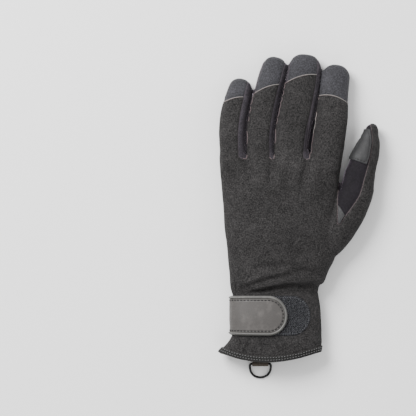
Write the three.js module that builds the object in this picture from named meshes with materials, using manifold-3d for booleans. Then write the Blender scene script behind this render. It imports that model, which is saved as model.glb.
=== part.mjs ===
// A left-hand glove for warm-water diving, lying palm down on a flat surface as it does when it is put away.
// It is sewn from panels: a 1.5 mm foam-rubber back, a thin fabric palm, fabric side walls between the
// fingers, fabric caps over the fingertips and leather-like patches on the palm side. A strap closes the
// wrist over a pile patch, and a D-ring in a webbing tab hangs at the palm's hem. It is hollow.
//
// Plan frame: +X towards the thumb, +Y towards the fingertips, +Z up from the surface that the palm lies on.
import * as THREE from "three";
import { mergeVertices } from "three/addons/utils/BufferGeometryUtils.js";
import Module from "manifold-3d";

const wasm = await Module();
wasm.setup();

// Driving sizes, in millimetres
const HAND_LENGTH = 174; // back hem to finger roots
const KNUCKLE_WIDTH = 101;
const HAND_DEPTH = 30;
const FINGER_DEPTH = 18;
const LITTLE_LENGTH = 61;
const RING_LENGTH = 79;
const MIDDLE_LENGTH = 81.5;
const INDEX_LENGTH = 72.5;
const THUMB_LENGTH = 115; // from its root inside the palm
const THUMB_WIDTH = 27;
const THUMB_DEPTH = 24;
const WALL = 1.5;
const PATCH_THICKNESS = 1;
const SEAM_HEIGHT = 7; // back and palm panels meet this high above the surface
const SEAM_GAP = 0.3; // between neighbouring panels
const SEAT = 0.3; // between a patch and the panel under it
const STRAP_WIDTH = 33;
const STRAP_REACH = 47; // from the cuff's ulnar edge to the strap's round end
const STRAP_THICKNESS = 1.7;
const STRAP_HEIGHT = 38; // hem to the middle of the strap
const BINDING_WIDTH = 2.6;
const BINDING_RISE = 0.5;
const PILE_REACH = 66;
const PILE_THICKNESS = 1;
const HEM_BAND = 4.5;
const HEM_BAND_THICKNESS = 1;
const RING_WIRE = 2;
const RING_WIDTH = 17.5; // between the centres of the wire at the bar's ends
const RING_REACH = 12; // bar to the top of the bow, between wire centres
const TAB_WIDTH = 13.5;
const TAB_WEBBING = 0.9;
const TAB_TONGUE = 8; // how far the tab runs into the cuff
const TAB_NECK = 3.6; // webbing between the palm's hem and the loop
const RING_CLEARANCE = 0.3;
const RING_FULLNESS = 0.95; // how square the bow is, share of RING_REACH
const RING_STEPS = 34;
const RING_SIDES = 8;

// What follows from them
const FLOOR_TO_PALM = PATCH_THICKNESS + SEAT;
const FAR = 400;
const CUT_TOLERANCE = 0.1;

// Cuff and palm from hem to knuckles. along: share of HAND_LENGTH. ulnar, radial: half widths on the little
// finger's and the thumb's side, shares of KNUCKLE_WIDTH. top: height of the back, share of HAND_DEPTH.
const HAND = [
  { along: -0.04, ulnar: 0.6, radial: 0.325, top: 0.76 },
  { along: 0.045, ulnar: 0.504, radial: 0.33, top: 0.78 },
  { along: 0.095, ulnar: 0.428, radial: 0.34, top: 0.78 },
  { along: 0.12, ulnar: 0.402, radial: 0.338, top: 0.76 },
  { along: 0.21, ulnar: 0.386, radial: 0.334, top: 0.75 },
  { along: 0.27, ulnar: 0.388, radial: 0.325, top: 0.75 },
  { along: 0.315, ulnar: 0.394, radial: 0.311, top: 0.76 },
  { along: 0.345, ulnar: 0.41, radial: 0.31, top: 0.8 },
  { along: 0.365, ulnar: 0.414, radial: 0.334, top: 0.86 },
  { along: 0.385, ulnar: 0.416, radial: 0.366, top: 0.91 },
  { along: 0.415, ulnar: 0.42, radial: 0.382, top: 0.95 },
  { along: 0.475, ulnar: 0.43, radial: 0.43, top: 1.0 },
  { along: 0.53, ulnar: 0.44, radial: 0.468, top: 1.04 },
  { along: 0.61, ulnar: 0.454, radial: 0.47, top: 1.07 },
  { along: 0.7, ulnar: 0.466, radial: 0.474, top: 1.06 },
  { along: 0.79, ulnar: 0.479, radial: 0.47, top: 1.03 },
  { along: 0.87, ulnar: 0.491, radial: 0.482, top: 0.98 },
  { along: 0.935, ulnar: 0.501, radial: 0.497, top: 0.9 },
  { along: 0.965, ulnar: 0.506, radial: 0.503, top: 0.82 },
];
const WEB_ROUNDING = 0.03; // share of HAND_LENGTH over which the palm's far edge rounds off
const WEB_ANGLES = [30, 58, 80];
const MOUTH_OVERSHOOT = 0.01; // share of HAND_LENGTH
const EQUATOR = 0.42; // widest level of the hand, share of its height
const FLAT_PALM = 1.06; // how far the palm's curve is pressed flat, share of its depth
const HAND_SIDES = 24;
const DIGIT_SIDES = 12;
const TOP_SQUARENESS = 2.3;
const BOTTOM_SQUARENESS = 3.2;

// The fold where the hand bulges over the narrow wrist, and the soft one above it. Plan points are shares of
// KNUCKLE_WIDTH and HAND_LENGTH, deep and spread are shares of HAND_DEPTH.
const FOLDS = [
  { fromX: 0.36, fromY: 0.352, toX: -0.3, toY: 0.33, deep: 0.11, spread: 0.1 },
  { fromX: 0.42, fromY: 0.44, toX: -0.1, toY: 0.425, deep: 0.045, spread: 0.13 },
];

// Middle lines of the fingers in plan: x as shares of KNUCKLE_WIDTH, rise as shares of MIDDLE_LENGTH
const FINGER_LINES = [
  { rise: -0.2, little: -0.386, ring: -0.16, middle: 0.078, index: 0.368 },
  { rise: 0, little: -0.394, ring: -0.166, middle: 0.087, index: 0.386 },
  { rise: 0.2, little: -0.398, ring: -0.167, middle: 0.1, index: 0.407 },
  { rise: 0.4, little: -0.379, ring: -0.144, middle: 0.133, index: 0.426 },
  { rise: 0.6, little: -0.34, ring: -0.108, middle: 0.168, index: 0.44 },
  { rise: 0.8, little: -0.29, ring: -0.064, middle: 0.196, index: 0.458 },
  { rise: 1, little: -0.25, ring: -0.014, middle: 0.215, index: 0.488 },
];

// Full widths of the fingers, shares of KNUCKLE_WIDTH, and heights, shares of FINGER_DEPTH, along each finger
const FINGER_SECTIONS = [
  { along: -0.22, little: 0.2, ring: 0.2, middle: 0.26, index: 0.24, deep: 1.08, lift: 0.2 },
  { along: 0, little: 0.214, ring: 0.214, middle: 0.272, index: 0.258, deep: 1.08, lift: 0.2 },
  { along: 0.2, little: 0.216, ring: 0.22, middle: 0.286, index: 0.262, deep: 1.03, lift: 0.2 },
  { along: 0.4, little: 0.22, ring: 0.22, middle: 0.29, index: 0.264, deep: 1, lift: 0.18 },
  { along: 0.6, little: 0.216, ring: 0.22, middle: 0.286, index: 0.244, deep: 0.97, lift: 0.12 },
  { along: 0.78, little: 0.204, ring: 0.216, middle: 0.278, index: 0.238, deep: 0.9, lift: 0.04 },
  { along: 1, little: 0.184, ring: 0.196, middle: 0.254, index: 0.222, deep: 0.8, lift: 0 },
];
const FINGER_STATIONS = [-0.22, 0, 0.2, 0.4, 0.6, 0.78];
const CAP_ANGLES = [0, 28, 52, 72];
const CAP_ROUNDNESS = 0.5; // length of the round tip, share of the finger's width

// Seams on each finger. back, palm, pad: where the back panel, the palm panel and the leather pad end on
// the ulnar and the thumb side, shares of the half width; OPEN reaches past the finger, so that back and palm
// meet there. cap: share of the finger's length where the fingertip cap starts, slant: how steeply its seam
// rises towards the thumb. base, padFrom: shares of the length up to where the palm's patch runs and from
// where the tip's pad starts. palmTip, padTip: how far panel and pad stay short of the tip, shares of the
// half width.
const OPEN = 1.35;
const FINGERS = [
  {
    name: "little", length: LITTLE_LENGTH, back: [-OPEN, 0.45], palm: [-OPEN, 0.72], cap: 0.7, slant: 0.4,
    palmTip: -0.6, pad: [-0.8, 0.68], base: 0.36, padFrom: 0.53, padTip: 0.26,
  },
  {
    name: "ring", length: RING_LENGTH, back: [-0.9, 0.7], palm: [-0.78, 0.52], cap: 0.656, slant: 0.6,
    palmTip: 0.58, pad: [-0.74, 0.48], base: 0.335, padFrom: 0.6, padTip: 0.68,
  },
  {
    name: "middle", length: MIDDLE_LENGTH, back: [-0.9, 0.74], palm: [-0.78, 0.52], cap: 0.738, slant: 0.37,
    palmTip: 0.38, pad: [-0.74, 0.48], base: 0.34, padFrom: 0.555, padTip: 0.48,
  },
  {
    name: "index", length: INDEX_LENGTH, back: [-0.84, OPEN], palm: [-0.8, OPEN], cap: 0.597, slant: -0.18,
    palmTip: -0.6, pad: [-0.74, 0.55], base: 0.35, padFrom: 0.56, padTip: 0.26,
  },
];
const PAD_BOW = 0.26; // roundness of a pad's far end, share of the finger's width
const BASE_SIDES = 0.86; // the palm patch's widest reach on a finger, share of its half width
const CAP_SEAM_BOW = 0.12; // how far a cap's seam bows towards the tip, share of the finger's width
const END_STEPS = 16; // points along a strip's bowed end, from one side of the finger to the other
const END_REACH = 2; // half the width that they span, share of the half width
const END_ROOM = 0.4; // how close a point may come to the end's corners

const PAD_INSET = 0.8;

// The thumb: root and tip direction in plan, then sections along THUMB_LENGTH. side: bow of the middle line
// to the right, share of THUMB_LENGTH. wide, deep: half sizes, shares of THUMB_WIDTH and THUMB_DEPTH. seam:
// where the foam-rubber back starts, share of the half width.
const THUMB_ROOT = { x: 0.34, y: 0.523 };
const THUMB_LEAN_DEG = 21.1;
const THUMB = [
  { along: -0.05, side: -0.06, wide: 0.36, deep: 0.4, seam: 1.4 },
  { along: 0.06, side: 0.004, wide: 0.49, deep: 0.48, seam: 0.5 },
  { along: 0.17, side: 0.037, wide: 0.545, deep: 0.52, seam: 0.1 },
  { along: 0.27, side: 0.06, wide: 0.54, deep: 0.52, seam: -0.05 },
  { along: 0.36, side: 0.075, wide: 0.535, deep: 0.52, seam: 0.02 },
  { along: 0.48, side: 0.079, wide: 0.51, deep: 0.5, seam: 0.2 },
  { along: 0.6, side: 0.057, wide: 0.485, deep: 0.48, seam: 0.32 },
  { along: 0.7, side: 0.048, wide: 0.435, deep: 0.46, seam: 0.36 },
  { along: 0.79, side: 0.047, wide: 0.38, deep: 0.43, seam: 0.26 },
  { along: 0.87, side: 0.04, wide: 0.305, deep: 0.38, seam: 0.18 },
  { along: 0.92, side: 0.028, wide: 0.225, deep: 0.33, seam: 0.12 },
  { along: 1.05, side: 0.004, wide: 0.16, deep: 0.26, seam: 0.1 },
];
const THUMB_CAP = 0.07; // length of the round tip, share of THUMB_LENGTH
const THUMB_PAD = { from: 0.7, to: 0.955, edge: 0.3 }; // shares of THUMB_LENGTH and of the half width

// Hems of the back and the palm across the cuff, shares of KNUCKLE_WIDTH and HAND_LENGTH
const HEM = [
  { across: -0.75, back: 0.09, palm: 0.1 },
  { across: -0.504, back: 0.045, palm: 0.055 },
  { across: -0.33, back: 0.014, palm: 0.028 },
  { across: -0.1, back: 0, palm: 0.016 },
  { across: 0.11, back: 0.014, palm: 0.034 },
  { across: 0.332, back: 0.049, palm: 0.073 },
  { across: 0.8, back: 0.09, palm: 0.115 },
];

const STRAP_SIDE = -0.41; // the closed cuff's ulnar edge, share of KNUCKLE_WIDTH
const STRAP_ROUNDNESS = 0.95; // length of the strap's round end, share of half its width
const STRAP_END_STEPS = 12;
const PILE_LOW = 10; // how far down the side of the cuff the pile patch runs
const TAB_ACROSS = -0.165; // the tab's place across the palm's hem, share of KNUCKLE_WIDTH

// Plan outlines, as shares of KNUCKLE_WIDTH and HAND_LENGTH
const CROTCH_LINE = 0.968;
// The back's edge beside the thumb
const HAND_EDGE = [
  [0.463, 0.656], [0.466, 0.77], [0.48, 0.842], [0.505, 0.9], [0.54, 0.95],
];
// The thumb's front where it runs into the palm
const THENAR = [
  [0.55, 0.43], [0.34, 0.5], [0.2, 0.56], [0.13, 0.62], [0.14, 0.7],
  [0.23, 0.757], [0.33, 0.788], [0.45, 0.81], [0.52, 0.905],
];
// Between the thumb and the index finger
const THUMB_GAP_LINE = [
  [0.527, 0.962], [0.61, 1.105], [0.66, 1.6],
];
// The lower edge of the patch on the palm
const PALM_PATCH = [
  [-0.43, 0.672], [0.092, 0.586], [0.155, 0.695], [0.2, 0.722],
  [0.249, 0.741], [0.344, 0.768], [0.45, 0.787],
];
const PATCH_TOP = 6; // how high the patches reach up the sides
const PATCH_SIDES = [
  [0.47, 0.92], [0.46, CROTCH_LINE], [-0.44, CROTCH_LINE],
];

// A table's column at a place along it, straight between its rows
function read(rows, key, place, column) {
  const last = rows.length - 1;
  if (place <= rows[0][key]) return rows[0][column];
  if (place >= rows[last][key]) return rows[last][column];
  const next = rows.findIndex((row) => row[key] > place);
  const [low, high] = [rows[next - 1], rows[next]];
  const share = (place - low[key]) / (high[key] - low[key]);
  return THREE.MathUtils.lerp(low[column], high[column], share);
}

const plan = ([x, y]) => [x * KNUCKLE_WIDTH, y * HAND_LENGTH];
const hemLine = (side) => HEM.map((row) => plan([row.across, row[side]]));

// One closed section: half sizes to the left, right, top and bottom of its middle, with rounded corners
function section(middle, sideways, left, right, up, down, sides) {
  return Array.from({ length: sides }, (_, i) => {
    const turn = (2 * Math.PI * (i + 0.5)) / sides;
    const [c, s] = [Math.cos(turn), Math.sin(turn)];
    const power = 2 / (s > 0 ? TOP_SQUARENESS : BOTTOM_SQUARENESS);
    const across = Math.sign(c) * Math.abs(c) ** power * (c > 0 ? right : left);
    const rise = Math.sign(s) * Math.abs(s) ** power * (s > 0 ? up : down);
    return middle.clone().addScaledVector(sideways, across).add(new THREE.Vector3(0, 0, rise));
  });
}

// A solid skinned over closed rings of equally many points, its ends closed by a fan
function skin(rings) {
  const sides = rings[0].length;
  const points = rings.flat();
  const faces = [];
  for (let r = 0; r + 1 < rings.length; r++)
    for (let i = 0; i < sides; i++) {
      const [a, b] = [r * sides + i, r * sides + ((i + 1) % sides)];
      faces.push(a, b, b + sides, a, b + sides, a + sides);
    }
  [0, rings.length - 1].forEach((r) => {
    const centre = rings[r].reduce((sum, p) => sum.add(p), new THREE.Vector3()).divideScalar(sides);
    const hub = points.push(centre) - 1;
    for (let i = 0; i < sides; i++) {
      const [a, b] = [r * sides + i, r * sides + ((i + 1) % sides)];
      faces.push(hub, ...(r === 0 ? [b, a] : [a, b]));
    }
  });
  const geometry = new THREE.BufferGeometry().setFromPoints(points);
  geometry.setIndex(faces);
  return geometry;
}

// A three.js geometry as a solid that can be joined and cut, turned right side out where it needs it
function solid(geometry) {
  const bare = new THREE.BufferGeometry().setAttribute("position", geometry.getAttribute("position"));
  if (geometry.index) bare.setIndex(geometry.index);
  const merged = mergeVertices(bare, 1e-4);
  const vertProperties = merged.attributes.position.array;
  const make = (triVerts) => new wasm.Manifold(new wasm.Mesh({ numProp: 3, vertProperties, triVerts }));
  const triVerts = new Uint32Array(merged.index.array);
  const made = make(triVerts);
  return made.volume() < 0 ? make(triVerts.map((_, i) => triVerts[i - (i % 3) + [0, 2, 1][i % 3]])) : made;
}

const join = (solids) => solids.reduce((all, one) => all.add(one));

// How far the folds press the back down at a plan point
function foldDepth(x, y) {
  const point = new THREE.Vector2(x, y);
  return FOLDS.reduce((sum, fold) => {
    const from = new THREE.Vector2(...plan([fold.fromX, fold.fromY]));
    const to = new THREE.Vector2(...plan([fold.toX, fold.toY]));
    const run = to.clone().sub(from);
    const share = THREE.MathUtils.clamp(point.clone().sub(from).dot(run) / run.lengthSq(), 0, 1);
    const away = point.distanceTo(from.addScaledVector(run, share)) / (fold.spread * HAND_DEPTH);
    return sum + fold.deep * HAND_DEPTH * (1 - 0.7 * share) * Math.exp(-away * away);
  }, 0);
}

// Cuff and palm as one closed tube whose surface is moved outwards by grow
function handTube(grow) {
  const across = new THREE.Vector3(1, 0, 0);
  const ring = (row, along, shrink) => {
    const height = row.top * HAND_DEPTH;
    const level = FLOOR_TO_PALM + EQUATOR * (height - FLOOR_TO_PALM);
    const middle = new THREE.Vector3(0, along * HAND_LENGTH, level);
    const [left, right] = [row.ulnar, row.radial].map((share) => share * KNUCKLE_WIDTH + grow);
    const [up, down] = [height - level + grow, level - FLOOR_TO_PALM + grow].map((size) => size * shrink);
    const points = section(middle, across, left, right, up, down * FLAT_PALM, HAND_SIDES);
    points.forEach((p) => (p.z = p.z > level ? p.z - foldDepth(p.x, p.y) : Math.max(p.z, level - down)));
    return points;
  };
  const last = HAND[HAND.length - 1];
  const rounding = WEB_ROUNDING + grow / HAND_LENGTH;
  const web = WEB_ANGLES.map((degrees) => {
    const turn = THREE.MathUtils.degToRad(degrees);
    return ring(last, last.along + rounding * Math.sin(turn), Math.cos(turn));
  });
  // The inner surface starts a little below the outer one, so that the cuff's mouth is open
  const start = HAND[0].along - (grow < 0 ? MOUTH_OVERSHOOT : 0);
  const body = HAND.map((row, i) => ring(row, i === 0 ? start : row.along, 1));
  return solid(skin([...body, ...web]));
}

// A digit described by its middle line and half sizes at any share of its length
function fingerShape(finger) {
  const column = finger.name;
  const points = FINGER_LINES.map(
    (row) => new THREE.Vector3(row[column] * KNUCKLE_WIDTH, HAND_LENGTH + row.rise * MIDDLE_LENGTH, 0),
  );
  const line = new THREE.CatmullRomCurve3(points);
  const rises = FINGER_LINES.map((row) => row.rise);
  const at = (along) => {
    const rise = (along * finger.length) / MIDDLE_LENGTH;
    const share = (rise - rises[0]) / (rises[rises.length - 1] - rises[0]);
    const half = (read(FINGER_SECTIONS, "along", along, column) * KNUCKLE_WIDTH) / 2;
    const deep = (read(FINGER_SECTIONS, "along", along, "deep") * FINGER_DEPTH) / 2;
    const lift = read(FINGER_SECTIONS, "along", along, "lift") * FINGER_DEPTH;
    const along3 = line.getTangent(THREE.MathUtils.clamp(share, 0, 1));
    const middle = line.getPoint(THREE.MathUtils.clamp(share, 0, 1));
    middle.z = FLOOR_TO_PALM + deep + lift;
    return { middle, ahead: along3, sideways: new THREE.Vector3(along3.y, -along3.x, 0), half, deep };
  };
  const cap = CAP_ROUNDNESS * 2 * at(1).half;
  return { at, length: finger.length, cap, stations: FINGER_STATIONS };
}

function thumbShape() {
  const lean = THREE.MathUtils.degToRad(THUMB_LEAN_DEG);
  const ahead = new THREE.Vector3(Math.sin(lean), Math.cos(lean), 0);
  const right = new THREE.Vector3(ahead.y, -ahead.x, 0);
  const root = new THREE.Vector3(...plan([THUMB_ROOT.x, THUMB_ROOT.y]), 0);
  const spot = (along) =>
    root.clone().addScaledVector(ahead, along * THUMB_LENGTH)
      .addScaledVector(right, read(THUMB, "along", along, "side") * THUMB_LENGTH);
  const at = (along) => {
    const run = spot(along + 0.02).sub(spot(along - 0.02)).normalize();
    const half = read(THUMB, "along", along, "wide") * THUMB_WIDTH;
    const deep = read(THUMB, "along", along, "deep") * THUMB_DEPTH;
    const middle = spot(along).setZ(FLOOR_TO_PALM + deep);
    return { middle, ahead: run, sideways: new THREE.Vector3(run.y, -run.x, 0), half, deep };
  };
  const stations = THUMB.map((row) => row.along).filter((along) => along < 1 - THUMB_CAP - 0.02);
  return { at, length: THUMB_LENGTH, cap: THUMB_CAP * THUMB_LENGTH, stations };
}

// A digit as one closed tube with a round tip, its surface moved outwards by grow
function digitTube(shape, grow) {
  const capStart = 1 - shape.cap / shape.length;
  const ring = (along, ahead, shrink) => {
    const { middle, ahead: run, sideways, half, deep } = shape.at(along);
    middle.addScaledVector(run, ahead);
    const [wide, tall] = [(half + grow) * shrink, (deep + grow) * shrink];
    return section(middle, sideways, wide, wide, tall, tall, DIGIT_SIDES);
  };
  const body = shape.stations.filter((along) => along < capStart - 0.03).map((along) => ring(along, 0, 1));
  const tip = CAP_ANGLES.map((degrees) => {
    const turn = THREE.MathUtils.degToRad(degrees);
    return ring(capStart, (shape.cap + grow) * Math.sin(turn), Math.cos(turn) ** 0.9);
  });
  return solid(skin([...body, ...tip]));
}

const shapes = Object.fromEntries(FINGERS.map((finger) => [finger.name, fingerShape(finger)]));
const thumb = thumbShape();
const gloveSurface = (grow) =>
  join([handTube(grow), digitTube(thumb, grow), ...FINGERS.map(({ name }) => digitTube(shapes[name], grow))]);

// An upright solid over a plan outline, from one height to another
function prism(outline, low = -FAR, high = FAR) {
  const shape = new THREE.Shape(outline.map(([x, y]) => new THREE.Vector2(x, y)));
  const geometry = new THREE.ExtrudeGeometry(shape, { depth: high - low, bevelEnabled: false });
  return solid(geometry.translate(0, 0, low));
}

// A strip of a digit in plan, between two shares of its half width, grown all round. Its far end bows forward
// by a share of the full width and slants by a share of the half width.
function strip(shape, from, to, left, right, bow = 0, grow = 0, slant = 0) {
  const start = from - grow / shape.length;
  const { middle, ahead, sideways, half } = shape.at(to);
  const lead = (share) => (2 * bow * (1 - share * share) + slant * share) * half;
  const [low, high] = [left * half - grow, right * half + grow];
  const steps = Array.from({ length: END_STEPS + 1 }, (_, i) => END_REACH * (1 - (2 * i) / END_STEPS) * half);
  const inner = steps.filter((x) => x > low + END_ROOM && x < high - END_ROOM);
  const end = [high, ...inner, low].map((x) => {
    const p = middle.clone().addScaledVector(sideways, x).addScaledVector(ahead, grow + lead(x / half));
    return [p.x, p.y];
  });
  const side = (share, sign) =>
    [start, -0.2, 0, 0.2, 0.4, 0.6, 0.8, 1]
      .filter((a) => a === start || (a > start + 0.03 && a < to + lead(share) / shape.length - 0.03))
      .map((along) => {
        const spot = shape.at(along);
        const p = spot.middle.addScaledVector(spot.sideways, share * spot.half + sign * grow);
        return [p.x, p.y];
      });
  return [...side(right, 1), ...end, ...side(left, -1).reverse()];
}

// The back panel's room: hand and finger backs above the seam, and the thumb's outer half at any height
function backRoom(grow) {
  const hem = hemLine("back").map(([x, y]) => [x, y - grow]);
  const edge = HAND_EDGE.map(plan).map(([x, y]) => [x + grow, y + grow]);
  const crotch = CROTCH_LINE * HAND_LENGTH + grow;
  const side = 0.8 * KNUCKLE_WIDTH;
  const outline = [...hem, [side, edge[0][1]], ...edge, [edge[edge.length - 1][0], crotch], [-side, crotch]];
  const low = SEAM_HEIGHT - grow;
  const fingers = FINGERS.map(({ name, back, cap, slant }) =>
    prism(strip(shapes[name], -0.12, cap, back[0], back[1], CAP_SEAM_BOW, grow, slant), low));
  return join([prism(outline, low), ...fingers, thumbBackRoom(grow)]);
}

function thumbBackRoom(grow) {
  const inner = THUMB.map((row) => {
    const { middle, sideways, half } = thumb.at(row.along);
    const p = middle.addScaledVector(sideways, row.seam * half);
    return [p.x - grow, p.y];
  });
  const root = thumb.at(THUMB[0].along).middle.y - grow;
  const last = inner[inner.length - 1];
  const [side, end] = [1.2 * KNUCKLE_WIDTH, last[1] + HAND_DEPTH];
  return prism([[side, root], [inner[1][0], root], ...inner.slice(1), [last[0], end], [side, end]]);
}

// The top of a finger with its cap, between the side walls
const fingerTop = ({ name, back }, grow) =>
  prism(strip(shapes[name], 0, 1.3, back[0], back[1], 0, grow), SEAM_HEIGHT - grow);

function capRoom(finger) {
  const belowSeam = strip(shapes[finger.name], -0.2, finger.cap, -2, 2, CAP_SEAM_BOW, SEAM_GAP, finger.slant);
  return fingerTop(finger, 0).subtract(prism(belowSeam));
}

// Where a strip ends whose bowed end is to stay short of the fingertip by a share of the half width
const stripEnd = (shape, tip) => 1 - ((tip + 2 * PAD_BOW) * shape.at(1).half) / shape.length;

function palmStripRoom({ name, palm, palmTip }, grow) {
  const shape = shapes[name];
  const outline = strip(shape, -0.12, stripEnd(shape, palmTip), palm[0], palm[1], PAD_BOW, grow);
  return prism(outline, -FAR, SEAM_HEIGHT - SEAM_GAP + grow);
}

function thumbFrontRoom(grow) {
  const inner = [...THENAR, ...THUMB_GAP_LINE].map(plan).map(([x, y]) => [x - grow, y]);
  const side = 1.2 * KNUCKLE_WIDTH;
  const top = inner[inner.length - 1][1];
  return prism([[side, inner[0][1]], ...inner, [side, top]]);
}

function palmRoom(grow) {
  const side = 0.8 * KNUCKLE_WIDTH;
  const crotch = CROTCH_LINE * HAND_LENGTH + grow;
  const high = SEAM_HEIGHT - SEAM_GAP + grow;
  const hand = prism([...hemLine("palm"), [side, crotch], [-side, crotch]], -FAR, high);
  const fingers = FINGERS.map((finger) => palmStripRoom(finger, grow));
  return join([hand.subtract(thumbFrontRoom(SEAM_GAP - grow)), ...fingers]);
}

// Where one finger's side wall may be: past the crotch line, up to the middle of the gap to each neighbour
function fingerRoom(index) {
  const side = (i, j) =>
    [-0.1, 0, 0.2, 0.4, 0.6, 0.8, 1, 1.2].map((rise) => {
      const spot = (k) => {
        const { name, length } = FINGERS[k];
        const { middle, half } = shapes[name].at((rise * MIDDLE_LENGTH) / length);
        return { x: middle.x, y: HAND_LENGTH + rise * MIDDLE_LENGTH, half };
      };
      const [mine, other] = [spot(i), FINGERS[j] ? spot(j) : null];
      if (!other) return [mine.x + Math.sign(j - i) * OPEN * mine.half, mine.y];
      const share = mine.half / (mine.half + other.half);
      return [THREE.MathUtils.lerp(mine.x, other.x, share) + (Math.sign(i - j) * SEAM_GAP) / 2, mine.y];
    });
  const crotch = CROTCH_LINE * HAND_LENGTH + SEAM_GAP;
  const outline = prism([...side(index, index + 1), ...side(index, index - 1).reverse()]);
  return outline.intersect(prism([[-FAR, crotch], [FAR, crotch], [FAR, FAR], [-FAR, FAR]]));
}

// A layer that lies on the glove: from one distance above its surface to another, inside a room
const layer = (surface, from, to, room) => surface(to).subtract(surface(from)).intersect(room);

// The strap's outline, with a round end towards the thumb, made smaller all round by inset
function strapOutline(reach, inset) {
  const half = STRAP_WIDTH / 2;
  const edge = STRAP_SIDE * KNUCKLE_WIDTH;
  const bend = half * STRAP_ROUNDNESS;
  const centre = edge + reach - bend;
  const arc = Array.from({ length: STRAP_END_STEPS + 1 }, (_, i) => {
    const turn = (-0.5 + i / STRAP_END_STEPS) * Math.PI;
    return [centre + (bend - inset) * Math.cos(turn), STRAP_HEIGHT + (half - inset) * Math.sin(turn)];
  });
  const back = edge - HAND_DEPTH;
  return [[back, STRAP_HEIGHT - half + inset], ...arc, [back, STRAP_HEIGHT + half - inset]];
}

// The D-ring lies in the XY plane with its bar along X through the origin and its bow towards -Y
function ringGeometry() {
  const [half, reach] = [RING_WIDTH / 2, RING_REACH];
  const bend = RING_WIRE;
  const at = (x, y) => new THREE.Vector3(x, y, 0);
  const arc = (from, corner, to) => new THREE.QuadraticBezierCurve3(from, corner, to);
  const path = new THREE.CurvePath();
  path.add(new THREE.LineCurve3(at(bend - half, 0), at(half - bend, 0)));
  path.add(arc(at(half - bend, 0), at(half, 0), at(half, -bend)));
  path.add(arc(at(half, -bend), at(half, -reach * RING_FULLNESS), at(0, -reach)));
  path.add(arc(at(0, -reach), at(-half, -reach * RING_FULLNESS), at(-half, -bend)));
  path.add(arc(at(-half, -bend), at(-half, 0), at(bend - half, 0)));
  const [steps, sides] = [RING_STEPS, RING_SIDES];
  const up = new THREE.Vector3(0, 0, 1);
  const points = [];
  const faces = [];
  for (let s = 0; s < steps; s++) {
    const middle = path.getPointAt(s / steps);
    const out = path.getTangentAt(s / steps).cross(up).normalize();
    for (let i = 0; i < sides; i++) {
      const turn = (2 * Math.PI * i) / sides;
      const p = middle.clone().addScaledVector(out, (RING_WIRE / 2) * Math.cos(turn));
      points.push(p.addScaledVector(up, (RING_WIRE / 2) * Math.sin(turn)));
      const [a, b] = [s * sides + i, s * sides + ((i + 1) % sides)];
      const [c, d] = [((s + 1) % steps) * sides + i, ((s + 1) % steps) * sides + ((i + 1) % sides)];
      faces.push(a, d, b, a, c, d);
    }
  }
  const geometry = new THREE.BufferGeometry().setFromPoints(points);
  geometry.setIndex(faces);
  return geometry;
}

const BAR_ROOM = RING_WIRE / 2 + RING_CLEARANCE;
const BAR_HEIGHT = FLOOR_TO_PALM + WALL + SEAT + TAB_WEBBING; // the webbing lies on the palm's inner face
const TAB_HEM = read(HEM, "across", TAB_ACROSS, "palm") * HAND_LENGTH;
const BAR_Y = TAB_HEM - TAB_NECK - BAR_ROOM - TAB_WEBBING;

// Webbing doubled round the ring's bar, its two ends running into the cuff. Profile in Y and Z, bar at 0, 0.
function tabGeometry() {
  const outer = BAR_ROOM + TAB_WEBBING;
  const lap = Math.asin(TAB_WEBBING / outer);
  const end = TAB_HEM + TAB_TONGUE - BAR_Y;
  const shape = new THREE.Shape();
  shape.moveTo(end, TAB_WEBBING);
  shape.lineTo(outer * Math.cos(lap), TAB_WEBBING);
  shape.absarc(0, 0, outer, lap, 2 * Math.PI - lap, false);
  shape.lineTo(end, -TAB_WEBBING);
  shape.closePath();
  shape.holes.push(new THREE.Path().absarc(0, 0, BAR_ROOM, 0, 2 * Math.PI, true));
  const extrusion = { depth: TAB_WIDTH, bevelEnabled: false, curveSegments: 8 };
  const geometry = new THREE.ExtrudeGeometry(shape, extrusion);
  const [x, y, z] = [[1, 0, 0], [0, 1, 0], [0, 0, 1]].map((axis) => new THREE.Vector3(...axis));
  return geometry.applyMatrix4(new THREE.Matrix4().makeBasis(y, z, x));
}

// Colours and finishes
const finish = (color, roughness, metalness = 0) =>
  new THREE.MeshStandardMaterial({ color, roughness, metalness });
const NEOPRENE = finish(0x2f2f30, 0.9);
const FABRIC = finish(0x322c33, 0.95);
const CAP_FABRIC = finish(0x4b4b52, 0.9);
const LEATHER = finish(0x4c4d4c, 0.55);
const STRAP_LEATHER = finish(0x55524f, 0.5);
const BINDING = finish(0x8c8c8c, 0.45);
const PILE = finish(0x2a2b2e, 1);
const HEM_TAPE = finish(0x242425, 0.8);
const WEBBING = finish(0x3b3733, 0.9);
const BLACK_METAL = finish(0x111111, 0.25, 0.9);

const glove = new THREE.Group();

function place(name, shape, material, parent = glove) {
  const made = shape.isBufferGeometry ? shape : new THREE.BufferGeometry();
  if (!shape.isBufferGeometry) {
    const { vertProperties, triVerts } = shape.getMesh();
    made.setAttribute("position", new THREE.BufferAttribute(vertProperties, 3));
    made.setIndex(new THREE.BufferAttribute(triVerts, 1));
  }
  const mesh = new THREE.Mesh(made, material);
  mesh.name = name;
  parent.add(mesh);
  return mesh;
}

// A cut can leave crumbs: the panel is the largest body
function main(shape) {
  const bodies = shape.decompose();
  return bodies.reduce((best, one) => (one.volume() > best.volume() ? one : best)).simplify(CUT_TOLERANCE);
}

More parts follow.
